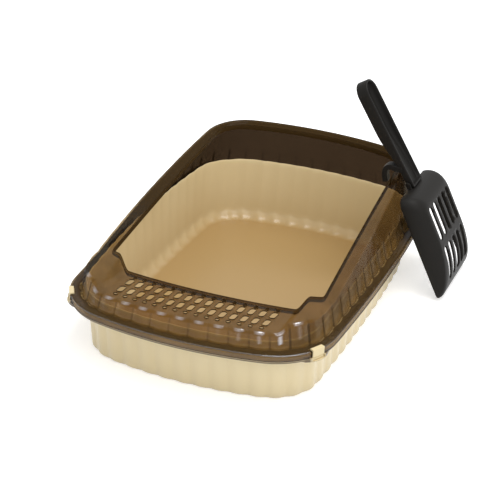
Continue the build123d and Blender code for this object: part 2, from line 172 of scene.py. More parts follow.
def moulded(name, low, high, roughness, specular, grain, shades=None):
    """A moulded plastic, whose colour drifts between low and high over FLOW_SIZE, with a grain.

    shades maps the name of a point attribute to the colour that it mixes in: on the tray, painted shade.
    """
    made, tree, out = material(name)
    place = node(tree, "ShaderNodeTexCoord")
    spot = {"Vector": (place, "Object")}
    flow = node(tree, "ShaderNodeTexNoise", None, {"Scale": 1 / FLOW_SIZE, "Detail": 3.0}, spot)
    mix = node(tree, "ShaderNodeMix", COLOURS, {6: linear(low), 7: linear(high)}, {0: (flow, "Fac")})
    for label, shade in (shades or {}).items():
        band = node(tree, "ShaderNodeAttribute", {"attribute_name": label})
        mix = node(tree, "ShaderNodeMix", COLOURS, {7: linear(shade)}, {0: (band, "Fac"), 6: (mix, 2)})
    fine = node(tree, "ShaderNodeTexNoise", None, {"Scale": 1 / GRAIN_SIZE, "Detail": 2.0}, spot)
    depth = {"Strength": grain, "Distance": GRAIN_DEPTH}
    bump = node(tree, "ShaderNodeBump", None, depth, {"Height": (fine, "Fac")})
    body = node(
        tree,
        "ShaderNodeBsdfPrincipled",
        None,
        {"Roughness": roughness, "Specular IOR Level": specular, "IOR": PLASTIC_IOR},
        {"Base Color": (mix, 2), "Normal": (bump, "Normal")},
    )
    tree.links.new(body.outputs[0], out.inputs["Surface"])
    return made


# %% [markdown]
# The cover's smoked plastic tints the light that passes it. A glass shader would bend light at both skins of a
# thin wall and stay grainy, so a tinted transparent shader stands for the wall. A veil of scattered brown gives
# it a body, and a little gloss its polish. The mesh carries three attributes: how dark the tint is at a point,
# which also holds painted shade on the flange, the skirt's edge, the wall's foot, the grooves, the opening's lip
# and the deck at the left and the back; inner, whether a point is on the wall's inner side, which gets painted
# shade when seen from inside; and painted highlight, as extra gloss on crests and edges.

# %% Smoked finish
# The clouds in the smoke are taken as a few centimetres wide.
SMOKE_SIZE = 45.5 * MM
SMOKE_DRIFT = 0.06
# The veil's slope over the smoke and its start, and how much of a full mirror's gloss is left.
VEIL_GAIN, VEIL_START, GLOSS_SHARE = 0.36, -0.04, 0.08
print("smoke clouds", SMOKE_SIZE / MM, "mm wide")


def smoked():
    """Smoked see-through polystyrene, whose tint runs from pale to dark with the smoke attribute.

    The inner side seen from inside the box gets painted shade, a dark brown tint. Light that
    isn't looked at passes almost untinted, so that the tray under the cover stays bright.
    """
    made, tree, out = material("smoked moulded polystyrene")
    smoke_and_painted_shade, inner, painted_glint = (
        node(tree, "ShaderNodeAttribute", {"attribute_name": label}) for label in ("smoke_and_painted_shade", "inner", "painted_glint")
    )
    side = node(tree, "ShaderNodeNewGeometry")
    # Painted shade: the wall's inner side, seen from inside the box, is mixed towards dark brown.
    facing = node(tree, "ShaderNodeMath", {"operation": "SUBTRACT"}, {0: 1.0}, {1: (side, "Backfacing")})
    painted_inner_shade_mask = node(
        tree, "ShaderNodeMath", {"operation": "MULTIPLY"}, None, {0: (inner, "Fac"), 1: (facing, 0)}
    )
    place = node(tree, "ShaderNodeTexCoord")
    spot = {"Vector": (place, "Object")}
    cloud = node(tree, "ShaderNodeTexNoise", None, {"Scale": 1 / SMOKE_SIZE, "Detail": 4.0}, spot)
    spread = {"From Min": 0.35, "From Max": 0.65, "To Min": -SMOKE_DRIFT, "To Max": SMOKE_DRIFT}
    drift = node(tree, "ShaderNodeMapRange", None, spread, {"Value": (cloud, "Fac")})
    # The tint's darkness: smoke and painted shade from the mesh, plus a cloudy drift.
    thick = node(tree, "ShaderNodeMath", ADD, None, {0: (smoke_and_painted_shade, "Fac"), 1: (drift, "Result")})
    shades = {6: linear("#D8CBB4"), 7: linear("#3E342A")}
    tint = node(tree, "ShaderNodeMix", COLOURS, shades, {0: (thick, 0)})
    painted_shade = node(tree, "ShaderNodeMix", COLOURS, {7: linear("#3A3028")}, {0: (painted_inner_shade_mask, 0), 6: (tint, 2)})
    path = node(tree, "ShaderNodeLightPath")
    looks = {0: (path, "Is Camera Ray"), 7: (painted_shade, 2)}
    passed = node(tree, "ShaderNodeMix", COLOURS, {6: linear("#F4EFE4")}, looks)
    clear = node(tree, "ShaderNodeBsdfTransparent", None, None, {"Color": (passed, 2)})
    body = node(tree, "ShaderNodeBsdfDiffuse", None, {"Color": linear("#6A5230"), "Roughness": 0.5})
    times_plus = {"operation": "MULTIPLY_ADD", "use_clamp": True}
    veil = node(tree, "ShaderNodeMath", times_plus, {1: VEIL_GAIN, 2: VEIL_START}, {0: (thick, 0)})
    filled = node(tree, "ShaderNodeMixShader", None, None, {0: (veil, 0), 1: (clear, 0), 2: (body, 0)})
    sheen = node(tree, "ShaderNodeBsdfGlossy", None, {"Color": linear("#F1F6FF"), "Roughness": 0.12})
    # Polystyrene's 1.59 gave more gloss at a slant than the photograph shows, so this was lowered to match it.
    grazing = node(tree, "ShaderNodeFresnel", None, {"IOR": 1.35})
    # Painted highlights: the glint attribute adds gloss on crests and edges.
    weak = node(tree, "ShaderNodeMath", times_plus, {1: GLOSS_SHARE}, {0: (grazing, 0), 2: (painted_glint, "Fac")})
    gloss = node(tree, "ShaderNodeMixShader", None, None, {0: (weak, 0), 1: (filled, 0), 2: (sheen, 0)})
    tree.links.new(gloss.outputs[0], out.inputs["Surface"])
    return made


# %% [markdown]
# Each finish is named for its plastic and how it was made. The tray's has two painted shades more. One is a
# darker, warmer colour painted deep in the tray's bottom and fading up its wall, for the shade and bounced light
# there. The other, lip, is painted shade on the rim's turned-down lip under the skirt and on the wall below it.

# %% Materials
# Pale polypropylene from a polished mould: an even cream with a broad soft shine.
# Painted shade on the tray: a darker, warmer colour in its bottom, and a brown on the lip under the skirt.
TRAY_PAINTED_SHADES = {"painted_shade": "#A6895A", "lip": "#54442C"}
beige = moulded(
    "injection moulded beige polypropylene", "#D8C69C", "#E2D2AA", 0.26, 0.5, 0.03, TRAY_PAINTED_SHADES
)
# Acetal, which springs without breaking: near the tray's colour, and a little duller.
clip_beige = moulded("injection moulded beige acetal", "#D2C094", "#DCCCA2", 0.35, 0.5, 0.05)
# Polystyrene from a mirror-finished mould: clear brown smoke with crisp small lights.
smoke_finish = smoked()
# The skin of a hole is seen through the sheet's whole width, which gives each hole a dark rim.
edge_finish = moulded("cut edge of smoked polystyrene", "#2A1E12", "#362819", 0.3, 0.4, 0.05)
# Black polypropylene from an etched mould: a matt skin, so that light only shows its form.
black = moulded("black moulded polypropylene", "#1B1A18", "#22201E", 0.46, 0.1, 0.1)
print(len(bpy.data.materials), "materials")

# %% [markdown]
# The box is a rectangle with slightly bowed sides and round corners. A rounded square could be bevelled, but the
# same outline has to be drawn in by any inset, for the lip, the flange and both leaning walls. So it is worked
# out from four large arcs and a rounding that touches two of them.

# %% Plan arcs
END_BOW, SIDE_BOW, CORNER = 30.0, 10.7, 77.0


def arc_radius(half, bow):
    """Radius of an arc from half its chord and its bow: the sum of their squares over twice the bow."""
    return (half**2 + bow**2) / (2 * bow)


END_ARC, SIDE_ARC = arc_radius(WIDTH / 2, END_BOW), arc_radius(LENGTH / 2, SIDE_BOW)
END_Y, SIDE_X = END_ARC - LENGTH / 2, WIDTH / 2 - SIDE_ARC


def corner_arc(end_radius, side_radius, rounding):
    """Returns the centre of a corner's rounding, and the angles where it meets the end arc and the side arc.

    The end arc's centre is at (0, END_Y) and the side arc's at (SIDE_X, 0). The rounding's centre is as far from
    each as that arc's radius less the rounding, which two circles give by Pythagoras.
    """
    gap = math.hypot(END_Y, SIDE_X)
    run = ((end_radius - rounding) ** 2 - (side_radius - rounding) ** 2 + gap**2) / (2 * gap)
    rise = np.sqrt((end_radius - rounding) ** 2 - run**2)
    x = SIDE_X / gap * run + END_Y / gap * rise
    y = END_Y - END_Y / gap * run + SIDE_X / gap * rise
    return x, y, np.arctan2(y - END_Y, x), np.arctan2(y, x - SIDE_X)


print("end arc", round(END_ARC), "mm, side arc", round(SIDE_ARC), "mm")

# %% [markdown]
# Both mouldings are fluted: their walls are a row of shallow outward arcs, which make a thin wall stiff. A
# station counts half flutes round the box, so that the crests and grooves of the tray and the cover fall in line
# at every height. Columns stand closer together near a groove, where the surface turns fastest.

# %% Stations
PER_END, PER_SIDE = 12, 16
QUARTER = PER_END + PER_SIDE
FROM_CREST = np.array((0, 0.3, 0.58, 0.82, 0.92, 0.975))
ONE_FLUTE = np.concatenate([FROM_CREST, [1], 2 - FROM_CREST[:0:-1]])
STATIONS = (2 * np.arange(2 * QUARTER)[:, None] + ONE_FLUTE).ravel()


def outline(side_inset, end_inset, rounding, station=STATIONS):
    """Returns x, y and the outward direction of the plan outline at each station.

    The run along the outline is shared evenly between the stations, from the middle of the front to the corner's
    middle and on to the side's. The other three quarters mirror the first.
    """
    quarter = np.floor(station / QUARTER).astype(int) % 4
    place = station % QUARTER
    place = np.where(quarter % 2 == 1, QUARTER - place, place)
    end_radius, side_radius = END_ARC - end_inset, SIDE_ARC - side_inset
    corner_x, corner_y, first, second = corner_arc(end_radius, side_radius, rounding)
    end_length = end_radius * (first + math.pi / 2)
    corner_length = rounding * (second - first)
    to_middle = end_length + corner_length / 2
    past_middle = corner_length / 2 - side_radius * second
    from_middle = to_middle + past_middle * (place / PER_SIDE - PER_END / PER_SIDE)
    run = np.where(place <= PER_END, to_middle * place / PER_END, from_middle)

    def pick(of_end, of_corner, of_side):
        """Takes each column's value from the end arc, the corner or the side arc, by its run."""
        past_end = np.where(run < end_length + corner_length, of_corner, of_side)
        return np.where(run < end_length, of_end, past_end)

    angle = pick(
        run / end_radius - math.pi / 2,
        first + (run - end_length) / rounding,
        second + (run - end_length - corner_length) / side_radius,
    )
    radius = pick(end_radius, rounding, side_radius)
    out_x, out_y = np.cos(angle), np.sin(angle)
    x, y = pick(0, corner_x, SIDE_X) + radius * out_x, pick(END_Y, corner_y, 0) + radius * out_y
    flip_x = np.where(quarter >= 2, -1, 1)
    flip_y = np.where((quarter == 1) | (quarter == 2), -1, 1)
    return x * flip_x, y * flip_y, out_x * flip_x, out_y * flip_y


def ring(inset, level):
    """One level row of the flange or lip: the plan outline drawn in by inset."""
    x, y, _, _ = outline(inset, inset, CORNER - inset)
    return np.stack([x, y, np.full_like(x, level)], axis=-1)


print(2 * QUARTER, "flutes,", len(STATIONS), "columns")

# %% [markdown]
# A flute's depth is worked out once for all columns. The cover's is the square of the distance from the crest,
# which leaves a sharp groove. The tray's groove is soft: over the last part of the way the square's slope eases
# to nothing.

# %% Flutes
FLUTE_DEPTH, GROOVE_SOFT = 2.0, 0.3
away = np.abs((STATIONS + 1) % 2 - 1)
COVER_FLUTE = away**2
straight = 1 - GROOVE_SOFT
past = np.clip(away - straight, 0, GROOVE_SOFT)
easing = 2 * straight * (past - past**2 / (2 * GROOVE_SOFT))
TRAY_FLUTE = (np.minimum(away, straight) ** 2 + easing) / straight
print("flutes", FLUTE_DEPTH, "mm deep at most")


def eased(share):
    """Runs from 0 to 1 with level ends: three squares less two cubes."""
    share = np.clip(share, 0, 1)
    return share**2 * (3 - 2 * share)


def stacked(rows, *names):
    """Turns rows of (points, value, value, ...) into a grid of points and a grid of values for each name."""
    points = np.array([row[0] for row in rows])
    columns = points.shape[1]
    values = ([np.broadcast_to(row[k], columns) for row in rows] for k in range(1, len(names) + 1))
    return points, {name: np.array(grid, float) for name, grid in zip(names, values)}


# %% [markdown]
# The tray is one deep moulding. Its wall leans outwards and stands up inside the cover as a low rim, which is
# higher along the sides. A flange outside the rim carries the cover, and the flange's lip turns down. A lathe
# can't make it, because it isn't round, so its profile is carried round the box row by row. The inside and the
# outside are one closed skin, which gives the wall its real thickness.

# %% Tray shape
# The rim's height at the ends, how much more it has at the sides, and how far from the middle that ends.
RIM_END, RIM_RISE, RIM_REACH = 79.0, 8.0, 200.0
RIM_CROWN, RIM_ROUND, RIM_PLAY = RIM_END + RIM_RISE, WALL / 2, 0.8
SHELF, SHELF_WALL = FLANGE - WALL, 2.0
LIP_INSET, LIP_TOP, LIP_BOTTOM, LIP_ROUND = 2.2, SKIRT_BOTTOM - 0.6, 59.6, 0.8
BASE_SIDE, BASE_END, BASE_CORNER = 21.0, 28.3, 59.0
FLOOR, FLOOR_ROUND, FOOT_ROUND = 2.2, 11.0, 5.0
FOOT_INSET, FOOT_CORNER, LEAN = 10.4, 72.0, 0.25
print("tray rim", RIM_END, "to", RIM_CROWN, "mm high")


def wall_inset(level):
    """Inset of the cover's outer wall, which leans in by a quarter of its height."""
    return FOOT_INSET + LEAN * (level - FLANGE)


def wall_corner(inset):
    """Corner rounding of the cover's wall, which shrinks as the wall leans in."""
    return FOOT_CORNER + FOOT_INSET - inset


def tray_wall(level, more, depth):
    """A row of the tray's wall: insets and rounding run evenly from the base to the rim, less the flutes."""
    level = np.broadcast_to(np.asarray(level, float), STATIONS.shape)
    top_side = wall_inset(RIM_CROWN) + WALL + RIM_PLAY
    top_end = wall_inset(RIM_END) + WALL + RIM_PLAY
    side = BASE_SIDE + (top_side - BASE_SIDE) * level / RIM_CROWN
    end = BASE_END + (top_end - BASE_END) * level / RIM_END
    rounding = BASE_CORNER + (wall_corner(top_side) - BASE_CORNER) * level / RIM_CROWN
    x, y, out_x, out_y = outline(side + more, end + more, rounding - more)
    return np.stack([x - out_x * depth * TRAY_FLUTE, y - out_y * depth * TRAY_FLUTE, level], axis=-1)


# %% [markdown]
# Each clip stands two thirds of the way round its corner, and the lip swells out under it to hold its pins. The
# swelling could be a separate lump, but a moulding grows it out of the lip, so it is a parabola that is added to
# the lip's own rows.

# %% Clip places
CLIP_SHARE = 0.66
SWELL_HALF, SWELL_REACH, SWELL_HEIGHT = 19.0, 2.6, 4.0
_, _, first, second = corner_arc(END_ARC, SIDE_ARC, CORNER)
fine = np.linspace(0, QUARTER, 2801)
_, _, out_x, out_y = outline(0, 0, CORNER, fine)
clip_station = np.interp(first + (second - first) * CLIP_SHARE, np.arctan2(out_y, out_x), fine)
clip_x, clip_y, clip_out_x, clip_out_y = (float(v) for v in outline(0, 0, CORNER, clip_station))
x, y, _, _ = outline(0, 0, CORNER)
to_clip = np.min([np.hypot(x - clip_x * a, y - clip_y * b) for a in (1, -1) for b in (1, -1)], axis=0)
swell = (LIP_INSET + SWELL_REACH) * np.clip(1 - (to_clip / SWELL_HALF) ** 2, 0, 1)
print("front right clip at", round(clip_x, 1), round(clip_y, 1))


def lip(out, level):
    """A row of the lip: its outline moved outwards by out."""
    x, y, out_x, out_y = outline(LIP_INSET, LIP_INSET, CORNER - LIP_INSET)
    return np.stack([x + out_x * out, y + out_y * out, np.broadcast_to(level, x.shape)], axis=-1)


# %% [markdown]
# The rows start at the floor's middle and go out, up the wall and over the rim. The bend of the floor is a
# quarter circle, on which the flutes are deepest half way, as the scallops of a moulded tray are. Each row
# carries its painted shade, which is darker deep in the tray, and the lip's painted shade.

# %% Tray inside
# Flute depths inside: at the foot of the wall, how much more on the floor's bend, and at the rim.
INSIDE_FLUTE, SCALLOP, RIM_FLUTE = 0.3, 3.4, 0.8
NEAR_RIM_INSET, NEAR_RIM_CORNER = 16, 64
# Painted shade, darkest and warmest on the floor, fading up the wall, with a little on the rim.
tray_rows = [(tray_wall(FLOOR, WALL + FLOOR_ROUND + more, flat), 1, 0) for more, flat in ((6, 0), (2, 0.2))]
for a, painted_shade in zip(np.radians(np.linspace(0, 90, 9)), np.linspace(1, 0.45, 9)):
    level, more = FLOOR + FLOOR_ROUND * (1 - np.cos(a)), WALL + FLOOR_ROUND * (1 - np.sin(a))
    depth = INSIDE_FLUTE + SCALLOP * np.sin(a) * np.cos(a)
    tray_rows.append((tray_wall(level, more, depth), painted_shade, 0))
# The outline near the rim, whose y gives the rim its arch. Its outward direction serves the cover's finish.
_, rim_y, faces_x, faces_y = outline(NEAR_RIM_INSET, NEAR_RIM_INSET, NEAR_RIM_CORNER)
rim = RIM_END + RIM_RISE * np.clip(1 - (rim_y / RIM_REACH) ** 2, 0, 1) - RIM_ROUND
bend = FLOOR + FLOOR_ROUND
for share, painted_shade in zip(np.linspace(0.08, 1, 12), np.linspace(0.42, 0, 12)):
    depth = INSIDE_FLUTE + (RIM_FLUTE - INSIDE_FLUTE) * share
    tray_rows.append((tray_wall(bend + (rim - bend) * share, WALL, depth), painted_shade, 0))
for a in np.radians((30, 60, 90, 120, 150)):
    row = tray_wall(rim + RIM_ROUND * np.sin(a), WALL / 2 + RIM_ROUND * np.cos(a), RIM_FLUTE)
    tray_rows.append((row, 0.2, 0))
for share in (0, 0.33, 0.66, 1):
    depth = RIM_FLUTE + (FLUTE_DEPTH - RIM_FLUTE) * share
    tray_rows.append((tray_wall(rim + (SHELF + 1 - rim) * share, 0, depth), 0.2, 0))
tray_rows.append((tray_wall(SHELF, -1, 0.5), 0.2, 0))
print(len(tray_rows), "rows from the floor to the shelf")

# %% [markdown]
# Outside the rim the rows cross the flat shelf, turn down over the lip and its swellings, come back under the
# shelf and go down the outer wall to the foot.

# %% Tray outside
# Levels of the outer wall's rows: in the lip's painted shade, at its end, just below it, and from where they are
# even.
SHADE_MIDDLE, SHADE_LOW, LIGHT_TOP, EVEN_FROM = 61.5, 56.4, 55.2, 50
tray_rows += [(ring(inset, SHELF), 0, 0) for inset in (9, 5, 3)]
for a in np.radians((30, 60, 90)):
    row = ring(LIP_INSET + LIP_ROUND * (1 - np.sin(a)), SHELF - LIP_ROUND * (1 - np.cos(a)))
    tray_rows.append((row, 0, 0))
upper = [ring(LIP_INSET, LIP_TOP + 0.4), ring(LIP_INSET, LIP_TOP)]
upper += [lip(swell - np.minimum(swell, less), LIP_TOP - drop) for less, drop in ((0.5, 0.02), (0.15, 0.15))]
upper.append(lip(swell, LIP_TOP - 0.5))
low = LIP_BOTTOM - np.clip(swell, 0, 1)
lower = [lip(swell, low + 0.6), lip(swell - 0.2, low + 0.2), lip(swell - 0.7, low)]
lower += [lip(-1.2, low), lip(-WALL, low + 0.4)]
under = SHELF - SHELF_WALL
shaded = [ring(LIP_INSET + WALL, under), tray_wall(under, -1, 1)]
shaded += [tray_wall(level, 0, FLUTE_DEPTH) for level in (under - 1, SHADE_MIDDLE, SHADE_LOW)]
# Painted shade of the lip: lighter at its top, darker over the swellings, darkest at its lower edge and on the
# wall under it.
tray_rows += [(row, 0, 0.62 + 0.3 * np.clip(swell / 1.5, 0, 1)) for row in upper]
tray_rows += [(row, 0, 1) for row in lower] + [(row, 0, 0.8) for row in shaded]
lit = (LIGHT_TOP, *np.linspace(EVEN_FROM, FOOT_ROUND, 10))
tray_rows += [(tray_wall(level, 0, FLUTE_DEPTH), 0, 0) for level in lit]
for a in np.radians(np.linspace(75, 0, 6)):
    level, more = FOOT_ROUND * (1 - np.cos(a)), FOOT_ROUND * (1 - np.sin(a))
    tray_rows.append((tray_wall(level, more, FLUTE_DEPTH * np.sin(a) + 0.4), 0, 0))
tray_rows.append((tray_wall(0, FOOT_ROUND + 4, 0), 0, 0))
print(len(tray_rows), "rows in all")

# %% [markdown]
# Holes and recesses are cut with closed prisms. A hole could be built into the grid, but its edge would have to
# follow the rows and columns, while a cut may run anywhere and leaves its own finish on the walls of the hole.


# %% Cutting helpers
def carve(piece, cutter):
    """Cuts a closed cutter out of a piece and keeps the result as the piece's own mesh."""
    cut = piece.modifiers.new("cut", "BOOLEAN")
    cut.operation, cut.solver, cut.object = "DIFFERENCE", "EXACT", cutter
    cut.material_mode = "TRANSFER"
    graph = bpy.context.evaluated_depsgraph_get()
    result = bpy.data.meshes.new_from_object(piece.evaluated_get(graph))
    piece.modifiers.clear()
    old, piece.data = piece.data, result
    result.name = old.name
    print(cutter.name, "cut out of", piece.name)
    bpy.data.meshes.remove(old)
    bpy.data.objects.remove(cutter)


def prism(name, loops, bevel=0.0):
    """Makes one mesh of closed prisms, each from its bottom and top loop of points in millimetres.

    Where the loop's own turning, by its cross products, points down, the two loops change places.
    """
    points, faces = [], []
    for low, high in loops:
        base, count = len(points), len(low)
        low, high = np.array(low), np.array(high)
        turn = np.cross(low, np.roll(low, -1, axis=0)).sum(axis=0)
        if turn @ (high - low).mean(axis=0) < 0:
            low, high = high, low
        points += list(low) + list(high)
        faces.append([base + k for k in reversed(range(count))])
        faces.append([base + count + k for k in range(count)])
        for k in range(count):
            following = (k + 1) % count
            faces.append([base + k, base + following, base + count + following, base + count + k])
    mesh = bpy.data.meshes.new(name)
    mesh.from_pydata((np.array(points) * MM).tolist(), [], faces)
    made = added(name, mesh)
    if bevel:
        edge = made.modifiers.new("edge", "BEVEL")
        edge.width, edge.segments = bevel * MM, 3
        edge.limit_method, edge.angle_limit = "ANGLE", math.radians(35)
    return made


def at_corner(out, along, level, x_sign, y_sign):
    """Point at one corner, given outwards from the rim, along the rim and upwards."""
    x = clip_x + out * clip_out_x - along * clip_out_y
    y = clip_y + out * clip_out_y + along * clip_out_x
    return (x * x_sign, y * y_sign, level)


def corner_prisms(profile, half):
    """The profile (out, level) carried along the rim by half each way, at all four corners."""
    loops = []
    for x_sign in (1, -1):
        for y_sign in (1, -1):
            ends = [[at_corner(u, w, z, x_sign, y_sign) for u, z in profile] for w in (-half, half)]
            loops.append(ends if x_sign * y_sign > 0 else ends[::-1])
    return loops


def upright(inner, outer, low, high):
    """Corners (out, level) of a rectangle that stands across the rim."""
    return [(outer, low), (outer, high), (inner, high), (inner, low)]


# %% [markdown]
# The swelling under each clip is hollow: the clip's barrel turns in it on two pins. The recess is a little wider
# than the barrel and deeper than the clip's leg, so that the clip can swing.

# %% Tray
PIVOT_INSET, PIVOT_LEVEL, WINDOW = 1.6, LIP_TOP - SWELL_HEIGHT / 2, 8.5
BARREL, TONGUE, RECESS_PLAY = 1.6, 0.7, 0.5
points, shades = stacked(tray_rows, "painted_shade", "lip")
tray = surface("tray_body", points, caps=(0, -1), shades=shades)
tray.data.materials.append(beige)
recess_low, recess_back = PIVOT_LEVEL - TONGUE - RECESS_PLAY, -PIVOT_INSET - BARREL - RECESS_PLAY
recess = upright(recess_back, 9, recess_low, PIVOT_LEVEL + 6)
recesses = prism("recess", corner_prisms(recess, WINDOW))
recesses.data.materials.append(beige)
carve(tray, recesses)
print("tray", len(tray.data.polygons), "faces")

# %% [markdown]
# The cover's deck rises towards the back and drops to a slotted step at the front. The deck could be a sheet
# that is bent by hand, but the wall below has to end exactly under it. So its height is a function of the place
# in plan, and the wall asks that function how high to go.

# %% Cover heights
DECK_FRONT, DECK_FRONT_Y, DECK_BACK_Y = 97.3, -130.0, 201.8
# The deck's fall at shares of the way from the back to the front, and the curve of fourth degree through them.
RISE_SHARES, FALL_SHARES = (0.0, 0.125, 0.25, 0.5, 0.75, 1.0), (0.0, 0.072, 0.173, 0.416, 0.695, 1.0)
RISE_FIT = np.polynomial.Polynomial.fit(RISE_SHARES, FALL_SHARES, 4, domain=[0, 1], window=[0, 1])
STEP, STEP_Y, STEP_FALL, STEP_BACK_Y = 84.4, -170.0, 0.104, -122.0
STEP_HALF, STEP_SPREAD, STEP_SIDE = 98.5, 0.0424, 15.0
# The deck's own tint, and the painted shade added at the left and the back.
DECK_CLEAR, DECK_PAINTED_SHADE = 0.14, 0.66


def on_step(x, y):
    """1 on the step, 0 beside and behind it, easing across its slope at each side."""
    half = STEP_HALF + STEP_SPREAD * (STEP_BACK_Y - y)
    return np.where(y > STEP_BACK_Y, 0, 1 - eased((np.abs(x) - half) / STEP_SIDE))


def deck_height(x, y):
    """Height of the cover's deck: a curve along the box, lowered to the sloping step at the front."""
    back = np.clip((DECK_BACK_Y - y) / (DECK_BACK_Y - DECK_FRONT_Y), 0, 1)
    deck = HEIGHT - (HEIGHT - DECK_FRONT) * RISE_FIT(back)
    step = STEP - STEP_FALL * (y - STEP_Y)
    return deck + (step - deck) * on_step(x, y)


def deck_tint_and_painted_shade(row):
    """How dark the deck's tint is: clear in front and at the right, with painted shade at the left and the back.
    """
    x, y, _ = row.T
    left = eased((-x - 60) / 50) * eased((y + 90) / 90)
    return DECK_CLEAR + DECK_PAINTED_SHADE * np.maximum(left, 1.2 * eased((y - 130) / 60))


for where, y in (("at the back", 230), ("at the step", -150)):
    print("deck", round(float(deck_height(0, y)), 1), "mm high", where)

# %% [markdown]
# The opening is a little wider in front, where a cat steps in, and round at the back. Half of it is a bowed front
# arc, two straight runs, a rounding and a bowed back arc, and the other half mirrors it. Its corners are eased by
# an average over a bell-shaped stretch, because a moulded edge has no sharp turn.

# %% Opening
OPEN_FRONT_Y, OPEN_FRONT_BOW = -138.1, 7.8
OPEN_SHOULDER = np.array((125.5, -125.8))
OPEN_BACK_X, OPEN_BACK_Y, OPEN_BACK_BOW, OPEN_BACK_ROUND = 117.0, 201.7, 18.0, 38.0
EDGE_EASE, RUN_POINTS = 4.0, 200


def arc(centre, radius, first, last):
    """Points of an arc about centre, from one angle to another."""
    turn = np.linspace(first, last, RUN_POINTS)
    return np.array(centre) + radius * np.stack([np.cos(turn), np.sin(turn)], -1)


def opening_half():
    """The opening's right half, from the middle of the front to the middle of the back.

    The rounding touches the side's straight run and the back arc from inside. Its centre is found along the run
    by Pythagoras, as far from the arc's centre as the two radii's difference.
    """
    front_radius = arc_radius(STEP_HALF, OPEN_FRONT_BOW)
    front_y = OPEN_FRONT_Y - OPEN_FRONT_BOW + front_radius
    front_turn = math.asin(STEP_HALF / front_radius)
    front = arc((0, front_y), front_radius, -math.pi / 2, front_turn - math.pi / 2)
    side_top = np.array((OPEN_BACK_X, OPEN_BACK_Y - OPEN_BACK_BOW))
    toward = (side_top - OPEN_SHOULDER) / np.linalg.norm(side_top - OPEN_SHOULDER)
    inward = np.array((-toward[1], toward[0]))
    back_radius = arc_radius(OPEN_BACK_X, OPEN_BACK_BOW)
    back_y = OPEN_BACK_Y - back_radius
    start = OPEN_SHOULDER + inward * OPEN_BACK_ROUND - (0, back_y)
    reach = (start @ toward) ** 2 - start @ start + (back_radius - OPEN_BACK_ROUND) ** 2
    along = math.sqrt(reach) - start @ toward
    centre = OPEN_SHOULDER + inward * OPEN_BACK_ROUND + toward * along
    last = math.atan2(centre[1] - back_y, centre[0])
    rounding = arc(centre, OPEN_BACK_ROUND, math.atan2(-inward[1], -inward[0]), last)
    back = arc((0, back_y), back_radius, last, math.pi / 2)
    straight = np.linspace(0, 1, RUN_POINTS)[:, None]
    to_shoulder = front[-1] + (OPEN_SHOULDER - front[-1]) * straight
    to_back = OPEN_SHOULDER + (rounding[0] - OPEN_SHOULDER) * straight
    return np.concatenate([front, to_shoulder, to_back, rounding, back])


half = opening_half()
loop = np.concatenate([half, half[::-1] * (-1, 1)])
run = np.concatenate([[0], np.cumsum(np.hypot(*np.diff(loop, axis=0).T))])
every_mm = np.arange(0, run[-1], 1.0)
loop = np.stack([np.interp(every_mm, run, loop[:, k]) for k in (0, 1)], -1)
# The average over a bell-shaped stretch is a product with this bell in frequencies.
waves = np.exp(-2 * (math.pi * EDGE_EASE * np.fft.fftfreq(len(loop), 1.0)) ** 2)
loop = np.fft.ifft(np.fft.fft(loop, axis=0) * waves[:, None], axis=0).real
print("opening", round(np.ptp(loop[:, 0])), "x", round(np.ptp(loop[:, 1])), "mm")

# %% [markdown]
# The cover's wall leans in and turns into the deck over a round shoulder. Where the shoulder ends depends on the
# deck's height there, and that height on where it ends, so six rounds of asking one for the other settle both.

# %% Cover wall shape
SKIRT_EDGE, FOOT_FILLET, SHOULDER = 1.4, 1.6, 5.0
# The flutes are full up to the first level and nearly gone at the second.
FADE_LOW, FADE_HIGH, FAINT_DEPTH = 90.0, 96.5, 0.15
ROWS_CLOSE_LOW, ROWS_CLOSE_HIGH = 89.0, 97.5
LEAN_ANGLE = math.atan(LEAN)
SHOULDER_RISE = SHOULDER * (1 - math.sin(LEAN_ANGLE))
crown = np.full(STATIONS.shape, DECK_FRONT)
for _ in range(6):
    inset = wall_inset(crown - SHOULDER_RISE) + SHOULDER * math.cos(LEAN_ANGLE)
    x, y, _, _ = outline(inset, inset, wall_corner(inset))
    crown = deck_height(x, y)
wall_top = crown - SHOULDER_RISE
print("wall", round(wall_top.min(), 1), "to", round(wall_top.max(), 1), "mm high")


def flute_share(level):
    """How full the cover's flutes are at a level: 1 up to the fade, then falling to 0."""
    return 1 - eased((level - FADE_LOW) / (FADE_HIGH - FADE_LOW))


def cover_wall(level, more):
    """A row of the cover's wall at a level, drawn in by more, less its flutes."""
    level = np.broadcast_to(np.asarray(level, float), STATIONS.shape)
    inset = wall_inset(level) + more
    x, y, out_x, out_y = outline(inset, inset, wall_corner(inset))
    depth = (FAINT_DEPTH + (FLUTE_DEPTH - FAINT_DEPTH) * flute_share(level)) * COVER_FLUTE
    return np.stack([x - out_x * depth, y - out_y * depth, level], axis=-1)


def wall_level(share, thick=0.0):
    """Level of a wall row: a third of the rows each to below the fade, across it and up to the wall's top."""
    low = FLANGE + FOOT_FILLET
    first = np.minimum(ROWS_CLOSE_LOW, low + (wall_top - low) * 0.35)
    second = np.minimum(ROWS_CLOSE_HIGH, low + (wall_top - low) * 0.7)
    lower = np.where(share < 1 / 3, low + (first - low) * share * 3, first + (second - first) * (share * 3 - 1))
    return np.where(share < 2 / 3, lower, second + (wall_top - thick - second) * (share * 3 - 2))


def shoulder_row(angle, thick=0.0):
    """A row of the shoulder's arc at an angle, thick inside its outer skin."""
    row = cover_wall(wall_top, SHOULDER * (math.cos(LEAN_ANGLE) - math.cos(angle)) + thick * math.cos(angle))
    row[:, 2] = wall_top + SHOULDER * (math.sin(angle) - math.sin(LEAN_ANGLE)) - thick * math.sin(angle)
    return row


